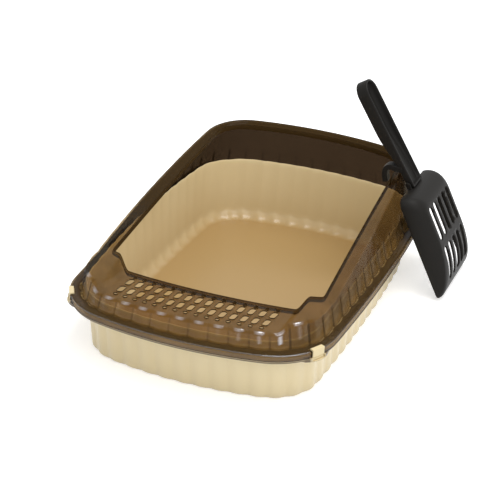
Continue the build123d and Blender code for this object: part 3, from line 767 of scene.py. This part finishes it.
# %% [markdown]
# The outside starts under the skirt, goes round its edge and over the flange, and climbs the wall and the
# shoulder. Painted shade darkens the tint on the skirt's lower edge, over the flange's bend and on the flange,
# at the wall's foot and in the grooves. The grooves' painted dark lines are strong at the sides and faint at the
# ends, where the wall is clearer. Painted highlights, put in as more gloss, lie on the front's crests, on the
# crests near the front right corner and along the flange's edge.

# %% Cover outside
# The flange's painted shade, the tint of a wall at the ends, and how much more tint a wall has at the sides.
FULL_PAINTED_SHADE, PLAIN_SMOKE, SIDE_SMOKE = 0.95, 0.06, 0.24
# Where in a half flute the painted shade of a groove starts, over what share it darkens, and its strength at the
# ends.
GROOVE_START, GROOVE_RUN, GROOVE_AT_END = 0.88, 0.07, 0.25
# Half widths, in half flutes, of the painted highlight on a crest and of the painted highlight streaks near the
# front right corner.
CREST_HALF, STREAK_HALF = 0.45, 0.16
sideways = faces_x**2
# Painted shade: dark lines in the grooves, strongest at the sides.
painted_groove_shade = np.clip((away - GROOVE_START + GROOVE_RUN * sideways) / GROOVE_RUN, 0, 1)
painted_groove_shade *= GROOVE_AT_END + (1 - GROOVE_AT_END) * sideways
plain = PLAIN_SMOKE + SIDE_SMOKE * sideways
# Painted highlights as more gloss: front shoulder crests, streaks near the front right corner, the flange's edge.
painted_crest_glint = np.clip(1 - (away / CREST_HALF) ** 2, 0, 1) * eased((-faces_y - 0.3) / 0.4)
near_corner = eased(1 - np.abs(faces_x - 0.45) / 0.4) * (faces_y < 0)
painted_streak_glint = np.clip(1 - (away / STREAK_HALF) ** 2, 0, 1) * near_corner
painted_edge_glint = 0.03 + 0.06 * eased((0.5 - faces_y) / 0.5)
cover_rows = []


def add(row, smoke_and_painted_shade, inner=0.0, painted_glint=0.0):
    """Adds a row to the cover's skin, with the three values that its finish reads."""
    cover_rows.append((row, smoke_and_painted_shade, inner, painted_glint))


# Painted shade: a dark line at the skirt's lower edge, a tint that darkens over the flange's bend, a dark flange.
add(ring(WALL - 0.3, SKIRT_BOTTOM), 0.9)
add(ring(0.4, SKIRT_BOTTOM), 0.9)
add(ring(0, SKIRT_BOTTOM + 0.4), 0.5)
for level in (SKIRT_BOTTOM + 1, FLANGE - SKIRT_EDGE - 1.5):
    add(ring(0, level), 0.06, painted_glint=0.03)
for a in np.radians((0, 22, 45, 68, 90)):
    row = ring(SKIRT_EDGE * (1 - np.cos(a)), FLANGE - SKIRT_EDGE * (1 - np.sin(a)))
    add(row, 0.1 + 0.35 * a, painted_glint=(0.3 < a < 1.3) * painted_edge_glint)
for inset in (3.5, 6.5):
    add(ring(inset, FLANGE), FULL_PAINTED_SHADE, painted_glint=0.025)
# Painted shade at the wall's foot: a dark line at the bottom, then the grooves' dark lines.
for a in np.radians((5, 30, 55, 80)):
    row = cover_wall(FLANGE + FOOT_FILLET * (1 - math.cos(a)), -FOOT_FILLET * (1 - math.sin(a)))
    add(row, 1.0 if a < 0.3 else 0.2 + 0.5 * painted_groove_shade)
for share in np.linspace(0.05, 1, 22):
    level = wall_level(share)
    smoke_and_painted_shade = plain + (FULL_PAINTED_SHADE - plain) * painted_groove_shade * flute_share(level)
    add(cover_wall(level, 0), smoke_and_painted_shade, painted_glint=0.012 * (1 - sideways) + 0.4 * painted_streak_glint * (share > 0.35))
for a in np.linspace(LEAN_ANGLE, math.pi / 2, 8)[1:]:
    row = shoulder_row(a)
    smoke_and_painted_shade = deck_tint_and_painted_shade(row) + 0.3 * painted_groove_shade * flute_share(wall_top)
    add(row, smoke_and_painted_shade, painted_glint=0.25 * painted_crest_glint * (0.6 < a < 1.3))
print(len(cover_rows), "rows from the skirt to the shoulder")

# %% [markdown]
# The deck runs from the shoulder to the opening. Straight rays from the box's middle would bunch up where the two
# outlines differ, so each column goes to the nearest point of the opening, and those places are then averaged
# along the loop until the columns are evenly spread.

# %% Columns at the opening
# Stations of overlap at the seam, samples to a station, and how many samples each average takes.
OVER, PER_STATION, AVERAGED = 6, 8, 49
shoulder_edge = cover_rows[-1][0][:, :2]
ROUND, COUNT = 4 * QUARTER, len(loop)
gaps = shoulder_edge[:, None] - loop[None]
near = np.unwrap(np.argmin(np.hypot(gaps[..., 0], gaps[..., 1]), axis=1).astype(float), period=COUNT)
stations = np.concatenate([STATIONS - ROUND, STATIONS, STATIONS + ROUND])
places = np.concatenate([near - COUNT, near, near + COUNT])
even = np.arange(-OVER, ROUND + OVER, 1 / PER_STATION)
spread = np.convolve(np.interp(even, stations, places), np.full(AVERAGED, 1 / AVERAGED), "same")
near = np.interp(STATIONS, even, spread) % COUNT
closed = np.concatenate([loop, loop[:1]])
slope = np.gradient(closed, axis=0)
outwards = np.stack([slope[:, 1], -slope[:, 0]], -1) / np.hypot(*slope.T)[:, None]
mouth, mouth_out = (
    np.stack([np.interp(near, np.arange(COUNT + 1), values[:, k]) for k in (0, 1)], -1)
    for values in (closed, outwards)
)
mouth_out /= np.hypot(*mouth_out.T)[:, None]
print("opening", COUNT, "mm round")

# %% [markdown]
# Beside the opening the deck falls a little and turns down in a short lip, which stiffens the edge. Then the rows
# go back under the deck, down the inside of the wall and under the flange, a wall's thickness from the outside.

# %% Cover deck and inside
EDGE_FALL, LIP_DROP, EDGE_ROUND, LIP_EDGE = 3.4, 6.6, 1.0, 0.6
beside = eased((mouth[:, 1] + 132) / 12)


def deck(share, thick=0.0):
    """A row of the deck, a share of the way from the shoulder to the opening, thick below its top."""
    place = shoulder_edge + (mouth + mouth_out * thick - shoulder_edge) * share
    x, y = place.T
    level = deck_height(x, y) - EDGE_FALL * beside * eased(share) - thick * (1 - 0.25 * on_step(x, y))
    return np.column_stack([place, level])


def opening_lip(drop, out):
    """A row of the opening's lip: the deck's edge moved down by drop and outwards by out."""
    return deck(1) + np.column_stack([mouth_out * out, np.full(len(mouth), -drop)])


shares = np.linspace(0, 1, 25)[1:-1]
for share in shares:
    row = deck(share)
    add(row, deck_tint_and_painted_shade(row))
# Painted shade: the opening's edge darkens as it turns down, and its lip is darker towards the back.
for a in np.radians((0, 30, 60, 90)):
    row = opening_lip(EDGE_ROUND * (1 - math.cos(a)), EDGE_ROUND * (1 - math.sin(a)))
    add(row, 0.2 + 0.7 * math.sin(a))
opening_lip_painted_shade = 0.5 + 0.5 * eased((mouth[:, 1] + 140) / 40)
middle, nearly = LIP_DROP / 2, LIP_DROP - LIP_EDGE
down = [(middle, 0), (nearly, 0), (LIP_DROP, LIP_EDGE)]
up = [(LIP_DROP, WALL - LIP_EDGE), (nearly, WALL), (middle, WALL)]
for drop, out in down + up:
    add(opening_lip(drop, out), opening_lip_painted_shade)
for share in shares[::-1]:
    row = deck(share, WALL)
    add(row, deck_tint_and_painted_shade(row))
# The inner rows take the inner side's painted shade, and the flange's underside on the tray is painted dark.
for a in np.linspace(LEAN_ANGLE, math.pi / 2, 6)[::-1]:
    add(shoulder_row(a, WALL), 0.12, 0.5)
for share in np.linspace(1, 0, 20)[1:]:
    add(cover_wall(wall_level(share, WALL), WALL), plain, 1.0)
add(cover_wall(FLANGE - WALL, WALL), 0.6, 1.0)
for inset in (7, 4, 2.2):
    add(ring(inset, FLANGE - WALL), 0.9)
add(ring(WALL, FLANGE - WALL - 0.4), 0.3)
add(ring(WALL, SKIRT_BOTTOM + 0.3), 0.1)
print(len(cover_rows), "rows in all")

# %% [markdown]
# The step has two rows of long slots with a row of round holes in front and behind, which let litter fall from
# the paws back into the tray. Each row bows a little towards the back at its ends. The slots are cut with
# round-ended prisms, and the windows in the skirt that let the clips through with square ones.

# %% Cover
HOLE_COLUMNS, HOLE_PITCH, ROW_BOW = 15, 12.1, 6.2
SLOT_LENGTH, SLOT_WIDTH, DOT = 16.4, 6.9, 5.2
SLOT_ROWS, DOT_ROWS = (-193.8, -172.0), (-208.6, -158.2)


def stadium(x, y, long, wide, steps=10):
    """Round-ended outline, long in y: two half circles a straight run apart, or a circle."""
    turn = np.concatenate([np.linspace(0, math.pi, steps), np.linspace(math.pi, 2 * math.pi, steps)])
    if long <= wide:
        turn = np.linspace(0, 2 * math.pi, 2 * steps, endpoint=False)
    shift = np.where(np.arange(2 * steps) < steps, 1, -1) * max(long - wide, 0) / 2
    return x + wide / 2 * np.cos(turn), y + wide / 2 * np.sin(turn) + shift


def hole_prisms():
    """Loops of every slot and dot, from under the step to over it."""
    holes = [(y, SLOT_LENGTH, SLOT_WIDTH) for y in SLOT_ROWS] + [(y, DOT, DOT) for y in DOT_ROWS]
    loops = []
    for column in range(HOLE_COLUMNS):
        x = HOLE_PITCH * (column - (HOLE_COLUMNS - 1) / 2)
        bow = ROW_BOW * (2 * column / (HOLE_COLUMNS - 1) - 1) ** 2
        for y, long, wide in holes:
            px, py = stadium(x, y + bow, long, wide)
            loops.append([np.stack([px, py, np.full_like(px, z)], -1).tolist() for z in (STEP - 6, STEP + 12)])
    return loops


points, shades = stacked(cover_rows, "smoke_and_painted_shade", "inner", "painted_glint")
cover = surface("cover_shell", points, ring=True, shades=shades)
cover.data.materials.append(smoke_finish)
holes = prism("holes", hole_prisms())
windows = prism("windows", corner_prisms(upright(-5.5, 6, FLANGE - 8, FLANGE + 8), WINDOW))
for cutter in (holes, windows):
    cutter.data.materials.append(edge_finish)
    carve(cover, cutter)
print("cover", len(cover.data.polygons), "faces")

# %% [markdown]
# Each clip is a small moulding: an arm that lies over the flange, a leg that hangs through the skirt's window,
# and a barrel that turns on two pins in the lip's swelling. Its side view is drawn once and carried along the
# rim, because all its edges run that way. A narrow bevel gives it the soft edges of a moulding.

# %% Clips
ARM, ARM_LOW, ARM_TOP, PROUD, LEG = 5.0, FLANGE - 1.5, FLANGE + 1.5, 0.3, 2.5
CLIP_HALF, BARREL_HALF, CLIP_EDGE = 8.0, 7.8, 0.5
side_view = [(TONGUE - PIVOT_INSET, PIVOT_LEVEL), (TONGUE - PIVOT_INSET, SKIRT_BOTTOM), (PROUD, SKIRT_BOTTOM)]
side_view += [(PROUD, ARM_TOP), (-ARM, ARM_TOP), (-ARM, ARM_LOW), (PROUD - LEG, ARM_LOW)]
side_view += [(-TONGUE - PIVOT_INSET, SKIRT_BOTTOM), (-TONGUE - PIVOT_INSET, PIVOT_LEVEL)]
turns = np.linspace(0, 2 * math.pi, 20, endpoint=False)
barrel = [(BARREL * math.cos(a) - PIVOT_INSET, BARREL * math.sin(a) + PIVOT_LEVEL) for a in turns]
clips = {}
clip_sides = corner_prisms(side_view, CLIP_HALF)
clip_barrels = corner_prisms(barrel, BARREL_HALF)
for place, name in enumerate(("front_right", "back_right", "front_left", "back_left")):
    clips[name] = prism("clip_" + name, [clip_sides[place], clip_barrels[place]], bevel=CLIP_EDGE)
    clips[name].data.materials.append(clip_beige)
print(len(clips), "clips")

# %% [markdown]
# The scoop leans back over the side of the box. It could be made upright and turned as an object, but a finished
# piece stays at the origin. So its points are worked out along the handle, across it and outwards, and put in
# place with those three directions. Its handle leans back a little further than its pan.

# %% Scoop place
TILT = math.radians(27)
SCOOP_PLACE = np.array((165.212, 150.0, FLANGE))
ALONG = np.array((-math.sin(TILT), 0, math.cos(TILT)))
OUTWARD = np.array((math.cos(TILT), 0, math.sin(TILT)))
ACROSS = np.array((0.0, 1.0, 0.0))
BEND, BEND_AT = math.radians(5), 80.0
print("scoop leans", round(math.degrees(TILT)), "degrees back, its handle", round(math.degrees(BEND)), "more")


def bent(along, outward):
    """Turns the handle by BEND about the place where it leans on the deck."""
    past = along - BEND_AT
    turned = BEND_AT + past * math.cos(BEND) + outward * math.sin(BEND)
    return turned, outward * math.cos(BEND) - past * math.sin(BEND)


def leaning(along, across, outward):
    """Places points that are given along the handle, across it and outwards."""
    along, across, outward = np.broadcast_arrays(along, across, outward)
    return SCOOP_PLACE + along[..., None] * ALONG + across[..., None] * ACROSS + outward[..., None] * OUTWARD


# %% [markdown]
# The pan is a dish with a floor that curves up to its rim, like a baking tin with round corners. It is a stack of
# closed outlines that shrink towards the floor as a quarter of an ellipse, first outside and then inside. Its
# slots let clean litter through and are cut straight through the floor.

# %% Scoop pan
RIM_LOW, RIM_HIGH, RIM_HALF = -77.0, 54.0, 56.0
PAN_LOW, PAN_HIGH, PAN_HALF, PAN_DEPTH, PAN_WALL = -14.0, 32.0, 42.0, 25.7, 2.0
ROUND_LOW, ROUND_HIGH = 6.0, 12.0
PAN_SLOT_COLUMNS, PAN_SLOT_PITCH, PAN_SLOT_WIDTH = 5, 16.7, 9.5
PAN_SLOT_RUNS = ((-12.0, 31.0), (-62.0, -21.0))


def pan_outline(low, high, half, low_round, high_round):
    """A rectangle with rounded corners: four quarter circles, joined by straight runs of a few points."""
    turn = np.radians(np.linspace(0, 90, 10))
    corners = [(0, high, half, high_round), (90, low, half, low_round)]
    corners += [(180, low, -half, low_round), (270, high, -half, high_round)]
    runs = []
    for start, s_at, w_at, r in corners:
        s_mid = s_at - math.copysign(r, s_at - (low + high) / 2)
        w_mid = w_at - math.copysign(r, w_at)
        a = turn + math.radians(start)
        runs.append(np.stack([s_mid + r * np.cos(a), w_mid + r * np.sin(a)], -1))
    points = []
    for k, run in enumerate(runs):
        following = runs[(k + 1) % 4][0]
        points += [run, run[-1] + (following - run[-1]) * np.linspace(0, 1, 12)[1:-1, None]]
    return np.concatenate(points)


def pan_row(angle, more, shrink=0.0):
    """One outline of the pan, by the angle round the quarter ellipse, grown by more."""
    run = 1 - math.cos(angle)
    low = RIM_LOW + (PAN_LOW - RIM_LOW) * run - more + shrink
    high = RIM_HIGH + (PAN_HIGH - RIM_HIGH) * run + more - shrink
    half = RIM_HALF + (PAN_HALF - RIM_HALF) * run + more - shrink
    low_round = ROUND_LOW + (ROUND_HIGH - ROUND_LOW) * run + more
    flat = pan_outline(low, high, half, low_round, ROUND_HIGH + more)
    return leaning(flat[:, 0], flat[:, 1], (PAN_DEPTH + more) * math.sin(angle))


def pan_skin():
    """Rows from the pan's outer floor to its rim and back to its inner floor."""
    floor, climb = math.pi / 2, np.radians(np.linspace(90, 1.5, 22))
    rows = [pan_row(floor, 0, 10), pan_row(floor, 0, 3)] + [pan_row(a, 0) for a in climb]
    rows += [pan_row(0, -0.4), pan_row(0, 0.4 - PAN_WALL)] + [pan_row(a, -PAN_WALL) for a in climb[::-1]]
    return np.array(rows + [pan_row(floor, -PAN_WALL, 3), pan_row(floor, -PAN_WALL, 10)])


def pan_slots():
    """Loops of the pan's slots: five columns of two."""
    loops = []
    for column in range(PAN_SLOT_COLUMNS):
        w = PAN_SLOT_PITCH * (column - (PAN_SLOT_COLUMNS - 1) / 2)
        for low, high in PAN_SLOT_RUNS:
            across, along = stadium(w, (low + high) / 2, high - low, PAN_SLOT_WIDTH)
            loops.append([leaning(along, across, d).tolist() for d in (1.5, PAN_DEPTH + 8)])
    return loops


pan = surface("scoop_pan", pan_skin(), caps=(0, -1))
slots = prism("slots", pan_slots())
for piece in (pan, slots):
    piece.data.materials.append(black)
carve(pan, slots)
print("scoop pan", len(pan.data.polygons), "faces")

# %% [markdown]
# The handle is a channel: a flat bar with a raised rim all round its face, which is stiff and saves plastic. One
# outline with a round head is drawn in by each step of a short profile, so the rim's rounding follows the head
# without a joint. Its back grows deeper above the place where it leans on the deck.

# %% Handle
GRIP_LOW, GRIP_HIGH, GRIP_HALF, GRIP_BOTTOM, GRIP_TOP = 53.6, 193.5, 16.0, -2.0, 7.0
CHANNEL_WALL, BACK_ROUND, FACE_ROUND = 2.6, 1.6, 0.9
# How much deeper the back gets, over what length, and the level below which a row belongs to it.
GRIP_SWELL, SWELL_RUN, BACK_BELOW = 5.5, 50.0, 3.0


def grip_outline(inset):
    """A plan of the handle drawn in by inset: a half circle, two straight sides and a square lower end."""
    radius = GRIP_HALF - inset
    turn = np.linspace(0, math.pi, 36)
    head = np.stack([GRIP_HIGH - GRIP_HALF + radius * np.sin(turn), radius * np.cos(turn)], -1)
    fall = np.linspace(GRIP_HIGH - GRIP_HALF, GRIP_LOW + inset, 14)[1:-1]
    left = np.stack([fall, np.full_like(fall, -radius)], -1)
    width = np.linspace(-radius, radius, 14)
    foot = np.stack([np.full_like(width, GRIP_LOW + inset), width], -1)
    return np.concatenate([head, left, foot, left[::-1] * (1, -1)])


def handle_skin():
    """Rows from the handle's back, round its edge, over the channel's rim and down to its floor."""
    profile = [(6, GRIP_BOTTOM), (2, GRIP_BOTTOM)]
    for a in np.radians((15, 40, 65, 90)):
        profile.append((BACK_ROUND * (1 - math.sin(a)), GRIP_BOTTOM + BACK_ROUND * (1 - math.cos(a))))
    profile += [(0, GRIP_TOP - 3), (0, GRIP_TOP - FACE_ROUND)]
    for a in np.radians((30, 60, 90)):
        profile.append((FACE_ROUND * (1 - math.cos(a)), GRIP_TOP - FACE_ROUND * (1 - math.sin(a))))
    profile.append((2 * FACE_ROUND, GRIP_TOP))
    for more, drop in ((-0.3, 0.3), (0, 1), (0.3, 3.6), (1.2, 4.7), (2.6, 5), (5, 5)):
        profile.append((CHANNEL_WALL + more, GRIP_TOP - drop))
    rows = []
    for inset, level in profile:
        along, across = grip_outline(inset).T
        level = level - (level < BACK_BELOW) * GRIP_SWELL * eased((along - BEND_AT) / SWELL_RUN)
        along, outward = bent(along, level)
        rows.append(leaning(along, across, outward))
    return np.array(rows)


handle = surface("scoop_grip", handle_skin(), caps=(0, -1))

# %% [markdown]
# A hook behind the handle reaches over the deck and down inside, and two ears on the pan grip the handle's foot.
# The hook is a strip of even thickness, so it is drawn from its bent middle line. Both are prisms with a bevel.

# %% Hook and ears
HOOK_X, HOOK_Y, HOOK_TOP, HOOK_BEND = 117.0, 139.0, 143.5, 7.0
HOOK_THICK, HOOK_HALF, SMALL_EDGE = 6.4, 6.0, 0.6
EAR_GAP, EAR_HALF = 1.6, 1.2


def ribbon(centre, thick):
    """Outline of a strip of even thickness about a bent middle line, from the line's own slopes."""
    slope = np.gradient(centre, axis=0)
    out = np.stack([-slope[:, 1], slope[:, 0]], -1) / np.hypot(*slope.T)[:, None] * thick / 2
    return np.concatenate([centre + out, (centre - out)[::-1]])


turn = np.radians(np.linspace(60, 180, 9))
curl = np.stack([HOOK_X + HOOK_BEND * np.cos(turn), HOOK_TOP - HOOK_BEND + HOOK_BEND * np.sin(turn)], -1)
root, tip = [(HOOK_X + 14, HOOK_TOP - 1.5)], [(HOOK_X - 7, HOOK_TOP - 13), (HOOK_X - 5, HOOK_TOP - 20)]
flat = ribbon(np.concatenate([root, curl, tip]), HOOK_THICK)
sides = [[(x, HOOK_Y + w, z) for x, z in flat] for w in (-HOOK_HALF, HOOK_HALF)]
hook = prism("scoop_hook", [sides], bevel=SMALL_EDGE)
ear_view = [(50, 0), (62, 0.5), (63, 3), (60, 6), (50, 6)]
ear_loops = []
for w in (-GRIP_HALF - EAR_GAP, GRIP_HALF + EAR_GAP):
    ear_loops.append([[tuple(leaning(s, w + d, u)) for s, u in ear_view] for d in (-EAR_HALF, EAR_HALF)])
ears = prism("scoop_ears", ear_loops, bevel=SMALL_EDGE)
for piece in (handle, hook, ears):
    piece.data.materials.append(black)
print("scoop made")

# %% [markdown]
# Now each piece is tied to the imported model: the body that it moves with, and the solid that it stands for,
# which is hidden. The table's last column names a material slot, which nothing here reads: each piece has its
# finish already. Parenting by hand would do the same for one pose, but this table holds for every pose.

# %% Rig
stands_for = [(tray, "tray", "tray", "beige_plastic"), (cover, "cover", "cover", "smoked_plastic")]
stands_for += [(clip, "latch_" + name, "latch_" + name, "beige_plastic") for name, clip in clips.items()]
stands_for += [(piece, "scoop", "scoop_blade", "black_plastic") for piece in (pan, ears)]
stands_for += [(piece, "scoop", "scoop_handle", "black_plastic") for piece in (handle, hook)]
for piece, body, solid, slot in stands_for:
    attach(piece, body)
    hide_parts(solid)
print(len(stands_for), "pieces ride")

# %% [markdown]
# The box stands on a plain white studio floor. A floor that is only lit comes out grey far from the lamps, and
# more light would bleach the box. So the floor glows a little, but only for rays that look at it: straight, in a
# mirror or through the clear cover. The box's shadow stays on it.

# %% Floor
FLOOR_SIZE, FLOOR_WHITE, PURE_WHITE, FLOOR_GLOW = 12, linear("#F3F3F3"), linear("#FFFFFF"), 0.45


def looked_at(tree):
    """1 for a ray that looks straight, in a mirror or through a clear body, and 0 for other light."""
    path = node(tree, "ShaderNodeLightPath")
    first = node(tree, "ShaderNodeMath", ADD, None, {0: (path, "Is Camera Ray"), 1: (path, "Is Glossy Ray")})
    return node(tree, "ShaderNodeMath", ADD, None, {0: (first, 0), 1: (path, "Is Transmission Ray")})


bpy.ops.mesh.primitive_plane_add(size=FLOOR_SIZE)
floor = bpy.context.object
floor.name = "floor"
floor_finish, tree, out = material("white floor")
# Matt white paper: an even bright ground without a shine, on which only the box's soft shadow shows.
ground = node(tree, "ShaderNodeBsdfDiffuse", None, {"Color": FLOOR_WHITE})
glow = node(tree, "ShaderNodeEmission", None, {"Color": PURE_WHITE, "Strength": FLOOR_GLOW})
both = node(tree, "ShaderNodeAddShader", None, None, {0: (ground, 0), 1: (glow, 0)})
seen = {0: (looked_at(tree), 0), 1: (ground, 0), 2: (both, 0)}
floor_mix = node(tree, "ShaderNodeMixShader", None, None, seen)
tree.links.new(floor_mix.outputs[0], out.inputs["Surface"])
floor.data.materials.append(floor_finish)
print("floor", FLOOR_SIZE, "m wide")

# %% [markdown]
# The camera looks down on the front right of the box from two metres away. A long lens from there keeps the far
# end nearly as large as the near one, as a catalogue picture does. A wide lens close by would stretch the front.

# %% Camera
AZIMUTH, ELEVATION, ROLL = 0.35239559, 0.47137754, 0.0515522
DISTANCE, AIM = 2.13482, Vector((-0.051124, 0.119618, 0))
SENSOR, FOCAL_PIXELS, FRAME_PIXELS = 36, 1699.30, 500
flat_reach = math.cos(ELEVATION)
back = Vector((math.sin(AZIMUTH) * flat_reach, -math.cos(AZIMUTH) * flat_reach, math.sin(ELEVATION)))
level = Vector((math.cos(AZIMUTH), math.sin(AZIMUTH), 0))
upright_way = back.cross(level)
right = level * math.cos(ROLL) + upright_way * math.sin(ROLL)
up = upright_way * math.cos(ROLL) - level * math.sin(ROLL)
lens = bpy.data.cameras.new("camera")
lens.sensor_width = SENSOR
lens.lens = FOCAL_PIXELS / FRAME_PIXELS * SENSOR
camera = added("camera", lens)
turned = Matrix((right, up, back)).transposed().to_4x4()
camera.matrix_world = Matrix.Translation(AIM + back * DISTANCE) @ turned
bpy.context.scene.camera = camera
print("lens", round(lens.lens), "mm")

# %% [markdown]
# Two large soft lamps light the box from above and from its right, in an even white room. Small lamps would draw
# hard shadows through the clear cover. The room is a little dimmer for light that falls on the box than for rays
# that look at it, so the backdrop is pure white and the pale tray keeps its colour.

# %% Light
ROOM, BACKDROP = 0.7, 1.0
# Each lamp's name, its place and width in metres, and its power in watts.
LAMPS = (("key", (0.35, 0.1, 1.8), 1.0, 19), ("fill", (1.2, -1.2, 1.4), 1.5, 12))
world = bpy.data.worlds.new("studio")
world.use_nodes = True
bpy.context.scene.world = world
tree = world.node_tree
tree.nodes.clear()
room, backdrop = (
    node(tree, "ShaderNodeBackground", None, {"Color": PURE_WHITE, "Strength": strength})
    for strength in (ROOM, BACKDROP)
)
seen = {0: (looked_at(tree), 0), 1: (room, 0), 2: (backdrop, 0)}
sky = node(tree, "ShaderNodeMixShader", None, None, seen)
node(tree, "ShaderNodeOutputWorld", links={"Surface": (sky, 0)})


def lamp(name, place, size, power):
    """Adds a square soft lamp at place, turned to the middle of the floor."""
    light = bpy.data.lights.new(name, "AREA")
    light.size, light.energy = size, power
    made = added(name, light)
    made.location = place
    made.rotation_euler = (-Vector(place)).to_track_quat("-Z", "Y").to_euler()


for name, place, size, power in LAMPS:
    lamp(name, place, size, power)
bpy.context.scene.view_settings.view_transform = "Standard"
print(len(bpy.data.lights), "lamps")
